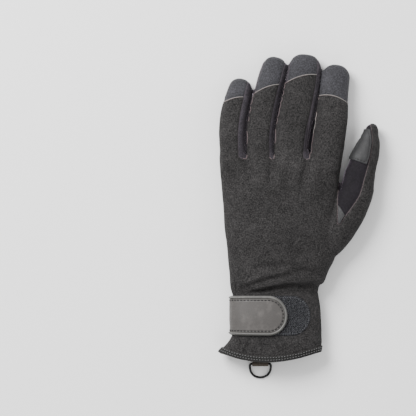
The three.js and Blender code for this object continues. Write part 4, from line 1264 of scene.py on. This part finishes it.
def binding_room(at):
    return np.minimum(strap_full(at), np.minimum(BINDING_WIDTH - strap_full(at), at[:, 2] - STRAP_LOWEST))


def binding_top(edge):
    share = np.clip(edge / (BINDING_WIDTH / 2), 0, 1)
    roll = np.sqrt(np.clip(1 - (1 - share) ** 2, 0, 1))
    return STRAP_BOTTOM - 0.6 + (STRAP_THICKNESS + BINDING_RISE + 0.6) * roll


def strap_top(edge):
    roll = np.sqrt(np.clip(1 - (1 - np.clip(edge / 0.9, 0, 1)) ** 2, 0, 1))
    groove = 0.3 * np.exp(-((edge - 1.3) / 0.5) ** 2)
    return STRAP_BOTTOM + STRAP_THICKNESS * (0.6 + 0.4 * roll) + 0.35 * np.clip(edge / 9, 0, 1) - groove


laid["wrist_strap"] = lay(
    "wrist_strap_leather", strap_room(STRAP_REACH, BINDING_WIDTH - 0.25, STRAP_LOWEST), "strap_leather",
    lambda edge: STRAP_BOTTOM - 0.2, strap_top, node="wrist_strap", folds=0.0, band=3.4)
laid["strap_binding"] = lay(
    "strap_binding_rim", binding_room, "strap_binding", lambda edge: STRAP_BOTTOM - 0.6,
    binding_top, node="strap_binding", folds=0.0, fine=0.42, band=2.6)
laid["pile_patch"] = lay("pile_patch_ground", strap_room(PILE_REACH, 0, 10.0), "pile", sunk,
                         cut_edge(SEAT + 0.35, 0.8), node="pile_patch", folds=0.0, fine=0.9)

# %% [markdown]
# The cuff's hem is bound: a tape folded round the cut edge, so it is thicker than the cloth and shows on both
# faces. The back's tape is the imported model's own piece. The palm's hem has the same binding.

# %% Hem bindings


def hem_room(side):
    line = hem_line(side)
    lift = SEAM_HEIGHT + SEAT

    def room(at):
        inner = np.stack([line[:, 0], line[:, 1] + HEM_BAND], 1)
        outline = [*(line - (0, 0.6)), *inner[::-1]]
        level = at[:, 2] - lift if side == "back" else lift - 0.8 - at[:, 2]
        return np.minimum(inside(at, outline), level)
    return room


hem_top = cut_edge(0.95, 0.9, base=0.1, groove_at=1.5, groove=0.12)
laid["hem_tape"] = lay("hem_tape_binding", hem_room("back"), "hem_tape", lambda edge: -WALL - 0.35, hem_top,
                       node="hem_tape", folds=0.6)
laid["palm_hem"] = lay("palm_hem_binding", hem_room("palm"), "hem_tape", lambda edge: -WALL - 0.35,
                       cut_edge(0.75, 0.9, base=0.1, groove_at=1.5, groove=0.1), folds=0.6)

# %% [markdown]
# Everything sewn shows its thread. A stitch row is a line on the cloth: where a distance field crosses a
# given value, the crossing points are chained into a path. A small Geometry Nodes tree then walks along the
# path and lays one stitch after another, each turned with the path and with the cloth's surface.

# %% Lines on the cloth


def lines_on(cloth, values, keep=None, lift=0.0, shortest=4.0):
    """Paths where values cross zero, as points with the cloth's outward direction."""
    tri = cloth["tri"] if keep is None else cloth["tri"][keep[cloth["tri"]].all(1)]
    values = np.where(np.abs(values) < 1e-6, 1e-6, values)
    tri = tri[np.abs(np.sign(values[tri]).sum(1)) < 3]
    edges, of_tri = unique_edges(tri)
    crossed = np.sign(values[edges[:, 0]]) != np.sign(values[edges[:, 1]])
    start, end = values[edges.T]
    share = np.where(crossed, start / np.where(crossed, start - end, 1), 0)[:, None]
    at = cloth["at"][edges[:, 0]] * (1 - share) + cloth["at"][edges[:, 1]] * share
    out = unit(cloth["out"][edges[:, 0]] * (1 - share) + cloth["out"][edges[:, 1]] * share)
    pairs = [ids[crossed[ids]] for ids in of_tri]
    beside = {}
    for pair in pairs:
        if len(pair) == 2:
            beside.setdefault(int(pair[0]), []).append(int(pair[1]))
            beside.setdefault(int(pair[1]), []).append(int(pair[0]))
    paths, seen = [], set()
    for start in sorted(beside, key=lambda k: len(beside[k])):
        if start in seen:
            continue
        path, here = [start], start
        seen.add(start)
        while True:
            ahead = [k for k in beside[here] if k not in seen]
            if not ahead:
                break
            here = ahead[0]
            seen.add(here)
            path.append(here)
        points, ways = at[path] + out[path] * lift, out[path]
        if len(path) > 3 and start in beside[path[-1]] and len(beside[start]) == 2:
            points, ways = np.concatenate([points, points[:1]]), np.concatenate([ways, ways[:1]])
        step = np.linalg.norm(np.diff(points, axis=0), axis=1)
        if len(path) < 4 or step.sum() < shortest:
            continue
        reach = np.concatenate([[0], np.cumsum(step)])
        even = np.linspace(0, reach[-1], max(int(reach[-1] / 0.4), 3))
        points = np.stack([np.interp(even, reach, points[:, k]) for k in range(3)], 1)
        ways = np.stack([np.interp(even, reach, ways[:, k]) for k in range(3)], 1)
        for _ in range(4):
            points[1:-1] = points[1:-1] / 2 + (points[:-2] + points[2:]) / 4
        paths.append((points, unit(ways)))
    return paths


# %% The tree that sews


def geometry_tree(name, inputs):
    """A tree with its two ends, and the keys by which a modifier sets its inputs."""
    tree = bpy.data.node_groups.new(name, "GeometryNodeTree")
    keys = {}
    tree.interface.new_socket("Geometry", in_out="INPUT", socket_type="NodeSocketGeometry")
    for label, kind, value in inputs:
        socket = tree.interface.new_socket(label, in_out="INPUT", socket_type="NodeSocket" + kind)
        if value is not None:
            socket.default_value = value
        keys[label] = socket.identifier
    tree.interface.new_socket("Geometry", in_out="OUTPUT", socket_type="NodeSocketGeometry")
    return tree, tree.nodes.new("NodeGroupInput").outputs, tree.nodes.new("NodeGroupOutput").inputs, keys


def copies_out(tree, take, thread, **values):
    """Copies of a small mesh on points, made real, smooth and of the thread's material."""
    placed = put(tree, "GeometryNodeInstanceOnPoints", values).outputs[0]
    solid = put(tree, "GeometryNodeRealizeInstances", {"Geometry": placed}).outputs[0]
    solid = put(tree, "GeometryNodeSetShadeSmooth", {"Geometry": solid}).outputs[0]
    solid = put(tree, "GeometryNodeSetMaterial", {"Geometry": solid, "Material": thread}).outputs[0]
    tree.links.new(solid, take[0])


def grown(name, guide_mesh, tree, keys, values):
    """What the tree makes on a guide mesh, as a piece of its own."""
    guide = bpy.data.objects.new(name + "_guide", guide_mesh)
    bpy.context.collection.objects.link(guide)
    modifier = guide.modifiers.new("threads", "NODES")
    modifier.node_group = tree
    for label, value in values.items():
        modifier[keys[label]] = value
    return adopt(bpy.data.objects.new(name, evaluated(guide, name)))


def sewing_tree():
    tree, give, take, keys = geometry_tree("row of stitches", [
        ("Spacing", "Float", 0.003), ("Length", "Float", 0.002), ("Thickness", "Float", 0.0004),
        ("Slant", "Float", 0.0), ("Thread", "Material", None)])
    path = put(tree, "GeometryNodeMeshToCurve", {"Mesh": give["Geometry"]}).outputs[0]
    even = put(tree, "GeometryNodeResampleCurve", {"Curve": path, "Length": give["Spacing"]},
               mode="LENGTH").outputs[0]
    along = put(tree, "GeometryNodeInputTangent").outputs[0]
    out = put(tree, "GeometryNodeInputNamedAttribute", {"Name": "out"},
              data_type="FLOAT_VECTOR").outputs["Attribute"]
    turn = put(tree, "FunctionNodeAlignRotationToVector", {"Vector": along}, axis="X").outputs[0]
    turn = put(tree, "FunctionNodeAlignRotationToVector", {"Rotation": turn, "Vector": out},
               axis="Z", pivot_axis="X").outputs[0]
    slant = put(tree, "ShaderNodeCombineXYZ", {2: give["Slant"]}).outputs[0]
    turn = put(tree, "FunctionNodeRotateRotation", {"Rotation": turn, "Rotate By": slant},
               rotation_space="LOCAL").outputs[0]
    ball = put(tree, "GeometryNodeMeshUVSphere", {"Segments": 8, "Rings": 5, "Radius": 1.0}).outputs[0]
    half = calc(tree, "MULTIPLY", give["Length"], 0.5)
    thick = calc(tree, "MULTIPLY", give["Thickness"], 0.5)
    size = put(tree, "ShaderNodeCombineXYZ", {0: half, 1: thick, 2: thick}).outputs[0]
    stitch = put(tree, "GeometryNodeTransform", {"Geometry": ball, "Scale": size}).outputs[0]
    copies_out(tree, take, give["Thread"], Points=even, Instance=stitch, Rotation=turn)
    return tree, keys


sewing, sewing_keys = sewing_tree()


def sew(name, paths, finish, spacing=2.9, length=2.1, thickness=0.5, slant=0.0):
    """One object with a stitch every so many millimetres along the paths."""
    points, edges, ways = [], [], []
    for line, out_ways in paths:
        first = len(points)
        points += ((line + TO_RECORD) / 1000).tolist()
        ways += out_ways.tolist()
        edges += [(first + k, first + k + 1) for k in range(len(line) - 1)]
    mesh = bpy.data.meshes.new(name)
    mesh.from_pydata(points, edges, [])
    outward = mesh.attributes.new("out", "FLOAT_VECTOR", "POINT")
    outward.data.foreach_set("vector", np.ravel(ways).astype(np.float32))
    values = {"Spacing": spacing / 1000, "Length": length / 1000, "Thickness": thickness / 1000,
              "Slant": slant, "Thread": finishes[finish]}
    obj = grown(name, mesh, sewing, sewing_keys, values)
    print(name, len(paths), "rows,", len(obj.data.polygons), "faces")


# %% Thread in the seams and patches
cap_line = (skin_cloth["cap"] > 0.25) & (skin_cloth["smooth"][:, 1] > CROTCH + 20)
facing_little = skin_cloth["out"][:, 0] < 0.1
across, up = skin_cloth["smooth"][:, 0], skin_cloth["smooth"][:, 1]
on_finger = (up > CROTCH - 6) & (across < 0.56 * KNUCKLE_WIDTH)
on_thumb = (across > 0.3 * KNUCKLE_WIDTH) & (up > 0.42 * HAND_LENGTH)
beside_seam = skin_cloth["back"] - 0.12
sew("cap_seam_thread", lines_on(skin_cloth, skin_cloth["back"], cap_line, lift=0.3),
    "seam_thread", spacing=0.62, length=0.95, thickness=0.55, slant=0.35)
sew("finger_seam_thread", lines_on(skin_cloth, beside_seam, on_finger & facing_little, lift=0.2),
    "edge_thread", spacing=1.0, length=1.35, thickness=0.5, slant=0.4)
sew("thumb_seam_thread", lines_on(skin_cloth, beside_seam, on_thumb & ~on_finger, lift=0.02),
    "edge_thread", spacing=1.1, length=1.2, thickness=0.28, slant=0.5)
for name, cloth in laid.items():
    if "pad" in name or name == "palm_patch":
        size = 0.8 if name == "thumb_pad" else 0.6
        sew(name + "_stitches", lines_on(cloth, cloth["edge"] - 1.5, lift=0.05),
            "black_thread", spacing=2.6, length=1.9, thickness=size)
strap_cloth, pile_cloth = laid["wrist_strap"], laid["pile_patch"]
strap_shown, pile_shown = strap_cloth["smooth"][:, 2] > 4.0, pile_cloth["smooth"][:, 0] > -4
sew("strap_stitches", lines_on(strap_cloth, strap_cloth["edge"] - 1.3, strap_shown, lift=0.12),
    "black_thread", spacing=2.9, length=2.2, thickness=1.05)
sew("pile_edge_stitches", lines_on(pile_cloth, pile_cloth["edge"] - 1.4, pile_shown, lift=0.5),
    "pile_yarn", spacing=1.9, length=0.8, thickness=0.6)
for hem_name, hem_side in (("hem_tape", "back"), ("palm_hem", "palm")):
    cloth, line = laid[hem_name], hem_line(hem_side)
    from_hem = cloth["smooth"][:, 1] - np.interp(cloth["smooth"][:, 0], line[:, 0], line[:, 1])
    for row, inset in enumerate((1.4, 3.4)):
        sew("%s_row_%d" % (hem_name, row + 1), lines_on(cloth, from_hem - inset, lift=0.1),
            "pale_thread", spacing=2.3, length=1.5, thickness=0.36)

# %% [markdown]
# The pile is hundreds of tiny loops that the hooks under the strap catch. A second tree scatters points over
# the bare part of the patch and stands a small loop on each, turned at random but from a fixed seed.

# %% Loops of the pile


def pile_tree():
    tree, give, take, keys = geometry_tree("looped pile", [
        ("Gap", "Float", 0.0006), ("Loop", "Float", 0.0005), ("Yarn", "Float", 0.0001),
        ("Seed", "Int", 7), ("Thread", "Material", None)])
    bare = put(tree, "GeometryNodeInputNamedAttribute", {"Name": "bare"},
               data_type="FLOAT").outputs["Attribute"]
    chosen = put(tree, "FunctionNodeCompare", {0: bare, 1: 0.5}, data_type="FLOAT",
                 operation="GREATER_THAN").outputs[0]
    where = {"Mesh": give["Geometry"], "Selection": chosen, "Distance Min": give["Gap"],
             "Density Max": 4.0e6, "Seed": give["Seed"]}
    scatter = put(tree, "GeometryNodeDistributePointsOnFaces", where, distribute_method="POISSON").outputs
    bent = {"Resolution": 6, "Radius": give["Loop"], "Start Angle": -0.3, "Sweep Angle": 3.8}
    arc = put(tree, "GeometryNodeCurveArc", bent).outputs[0]
    profile = put(tree, "GeometryNodeCurvePrimitiveCircle", {"Resolution": 3, "Radius": give["Yarn"]}).outputs[0]
    loop = put(tree, "GeometryNodeCurveToMesh", {"Curve": arc, "Profile Curve": profile}).outputs[0]
    loop = put(tree, "GeometryNodeTransform", {"Geometry": loop, "Rotation": (math.pi / 2, 0, 0)}).outputs[0]
    angles = {"Min": (-0.4, -0.4, 0.0), "Max": (0.4, 0.4, 6.28), "Seed": 3}
    spin = put(tree, "FunctionNodeRandomValue", angles, data_type="FLOAT_VECTOR").outputs[0]
    turn = put(tree, "FunctionNodeRotateRotation", {"Rotation": scatter["Rotation"], "Rotate By": spin},
               rotation_space="LOCAL").outputs[0]
    size = put(tree, "FunctionNodeRandomValue", {2: 0.7, 3: 1.25, "Seed": 5}, data_type="FLOAT").outputs[1]
    copies_out(tree, take, give["Thread"], Points=scatter["Points"], Instance=loop, Rotation=turn, Scale=size)
    return tree, keys


looping, looping_keys = pile_tree()
ground = mesh_of((pile_cloth["at"] + TO_RECORD) / 1000, pile_cloth["tri"].tolist(), "pile_guide")
past_strap = -inside(pile_cloth["smooth"], strap_outline(STRAP_REACH, 0)) + 1.0
bare = np.minimum(past_strap, pile_cloth["edge"] - 0.5) > 0
ground.attributes.new("bare", "FLOAT", "POINT").data.foreach_set("value", bare.astype(np.float32))
values = {"Gap": 0.00062, "Loop": 0.00045, "Yarn": 0.0001, "Seed": 7, "Thread": finishes["pile_yarn"]}
loops = grown("pile_loops", ground, looping, looping_keys, values)
print("pile loops:", len(loops.data.polygons), "faces")

# %% [markdown]
# The ring is bent wire, and the webbing is folded round its straight side. Both are swept: a small profile is
# carried along a path. The ring turns in the tab, so it rides on its own body.

# %% D-ring and its webbing tab
BAR_ROOM = RING_WIRE / 2 + RING_CLEARANCE
BAR_HEIGHT = FLOOR_TO_PALM + WALL + SEAT + TAB_WEBBING
TAB_HEM = np.interp(TAB_X / KNUCKLE_WIDTH, HEM[:, 0], HEM[:, 2]) * HAND_LENGTH
BAR_Y = TAB_HEM - TAB_NECK - BAR_ROOM - TAB_WEBBING


def bezier(a, b, c, steps):
    t = np.linspace(0, 1, steps, endpoint=False)[:, None]
    a, b, c = (np.array(p, float) for p in (a, b, c))
    return (1 - t) ** 2 * a + 2 * t * (1 - t) * b + t * t * c


half, reach, bend = RING_WIDTH / 2, RING_REACH, RING_WIRE
path = np.concatenate([
    np.linspace((bend - half, 0), (half - bend, 0), 24, endpoint=False),
    bezier((half - bend, 0), (half, 0), (half, -bend), 10),
    bezier((half, -bend), (half, -reach * 0.95), (0, -reach), 34),
    bezier((0, -reach), (-half, -reach * 0.95), (-half, -bend), 34),
    bezier((-half, -bend), (-half, 0), (bend - half, 0), 10),
])
for _ in range(6):
    path = path / 2 + (np.roll(path, 1, 0) + np.roll(path, -1, 0)) / 4
along = unit(np.roll(path, -1, 0) - np.roll(path, 1, 0))
sideways = np.stack([along[:, 1], -along[:, 0]], 1)
WIRE_SIDES = 20
turns = np.arange(WIRE_SIDES) * 2 * np.pi / WIRE_SIDES
wire = np.zeros((len(path), WIRE_SIDES, 3))
wire[:, :, :2] = path[:, None] + sideways[:, None] * (RING_WIRE / 2 * np.cos(turns))[None, :, None]
wire[:, :, 2] = RING_WIRE / 2 * np.sin(turns)
tilt = math.asin((BAR_HEIGHT - RING_WIRE / 2) / RING_REACH)
lie = np.array(Matrix.Rotation(tilt, 3, "X"))
wire = wire.reshape(-1, 3) @ lie.T + (TAB_X, BAR_Y, BAR_HEIGHT)
r, i = np.meshgrid(np.arange(len(path)), np.arange(WIRE_SIDES), indexing="ij")
ahead, beside = (r + 1) % len(path), (i + 1) % WIRE_SIDES
corners = [(r, i), (ahead, i), (ahead, beside), (r, beside)]
wire_faces = np.stack([row * WIRE_SIDES + place for row, place in corners], -1).reshape(-1, 4)
finished("d_ring_wire", wire, wire_faces, "black_metal", body="ring", node="d_ring")

end, circle = TAB_HEM + TAB_TONGUE - BAR_Y, BAR_ROOM + TAB_WEBBING / 2
bow = [(circle * math.cos(t), circle * math.sin(t)) for t in np.radians(np.arange(62, 299, 9))]
upper = [(end, 0.47), (end - 4, 0.47), (4.2, 0.47), (3.0, 0.56), (1.8, 1.05)]
profile = curve_through(upper + bow + [(y, -z) for y, z in upper[::-1]], 4)
run = unit(np.gradient(profile, axis=0))
out_way = np.stack([run[:, 1], -run[:, 0]], 1)
out_way *= np.sign((out_way * (profile - (profile[:, :1] > 2) * (profile * (1, 0)))).sum(1).mean())
columns = np.linspace(-TAB_WIDTH / 2, TAB_WIDTH / 2, 31)
selvedge = 1 - 0.25 * np.exp(-((TAB_WIDTH / 2 - np.abs(columns)) / 0.5))
ribs = 0.05 * np.cos(columns * 2 * np.pi / 1.25)


def webbing_face(sign):
    face = np.zeros((len(profile), len(columns), 3))
    thick = sign * (TAB_WEBBING / 2 - 0.04) * selvedge + sign * ribs
    face[:, :, 0] = TAB_X + columns
    face[:, :, 1] = BAR_Y + profile[:, None, 0] + out_way[:, None, 0] * thick
    face[:, :, 2] = BAR_HEIGHT + profile[:, None, 1] + out_way[:, None, 1] * thick
    return face.reshape(-1, 3)


r, i = np.meshgrid(np.arange(len(profile) - 1), np.arange(len(columns) - 1), indexing="ij")
a = r * len(columns) + i
cells = np.stack([a, a + 1, a + 1 + len(columns), a + len(columns)], -1).reshape(-1, 4)
tab_tri = np.concatenate([cells[:, [0, 1, 2]], cells[:, [0, 2, 3]]])
points, faces = closed(webbing_face(1), webbing_face(-1), tab_tri)
tab = finished("ring_tab_webbing", points, faces, "webbing", {"seam": np.full(len(points), FAR)},
               node="ring_tab")
a, b, c = (points[faces[:, k]] for k in range(3))
if (a * np.cross(b, c)).sum() < 0:
    tab.data.flip_normals()
print("ring and tab:", len(wire), "and", len(points), "points")

# %% Camera, floor and lights
FRAME_PIXELS = 416
MM_PER_PIXEL = 0.83
ORIGIN_PIXEL = (280.6, 361.3)  # where the plan's origin lies in the frame, from its top left corner
middle_x = ((FRAME_PIXELS / 2 - ORIGIN_PIXEL[0]) * MM_PER_PIXEL + TO_RECORD[0]) / 1000
middle_y = ((ORIGIN_PIXEL[1] - FRAME_PIXELS / 2) * MM_PER_PIXEL + TO_RECORD[1]) / 1000
camera_data = bpy.data.cameras.new("camera")
camera = bpy.data.objects.new("camera", camera_data)
bpy.context.collection.objects.link(camera)
CAMERA_HEIGHT = 3.0
SCALE_HEIGHT = 0.014  # half-way up the glove, where the pixels' scale holds
SENSOR_WIDTH = 36
camera.location = (middle_x, middle_y, CAMERA_HEIGHT)
camera_data.sensor_width = SENSOR_WIDTH
camera_data.lens = SENSOR_WIDTH * (CAMERA_HEIGHT - SCALE_HEIGHT) / (FRAME_PIXELS * MM_PER_PIXEL / 1000)
camera_data.clip_end = 20
bpy.context.scene.camera = camera

floor_mesh = mesh_of([(-3, -3, 0), (3, -3, 0), (3, 3, 0), (-3, 3, 0)], [(0, 1, 2, 3)], "floor")
floor = bpy.data.objects.new("floor", floor_mesh)
bpy.context.collection.objects.link(floor)
floor_paint, _, shader, _ = new_material("white paper", 0.9, specular=0.1)
shader.inputs["Base Color"].default_value = (0.9, 0.9, 0.9, 1)
floor_mesh.materials.append(floor_paint)


def area_light(name, place, size, power):
    """A square light that faces the middle of the scene."""
    data = bpy.data.lights.new(name, "AREA")
    data.shape = "SQUARE"
    data.size = size
    data.energy = power
    light = bpy.data.objects.new(name, data)
    bpy.context.collection.objects.link(light)
    light.location = place
    light.rotation_euler = (-Vector(place)).to_track_quat("-Z", "Y").to_euler()


area_light("softbox above left", (-0.8, 0.8, 1.1), 0.8, 50)
area_light("softbox right", (1.2, 0.3, 0.9), 0.8, 4)
area_light("softbox front", (0.1, -1.2, 1.0), 0.8, 4)
world = bpy.data.worlds.new("studio")
bpy.context.scene.world = world
world.use_nodes = True
world.node_tree.nodes["Background"].inputs[0].default_value = (1, 1, 1, 1)
world.node_tree.nodes["Background"].inputs[1].default_value = 0.85
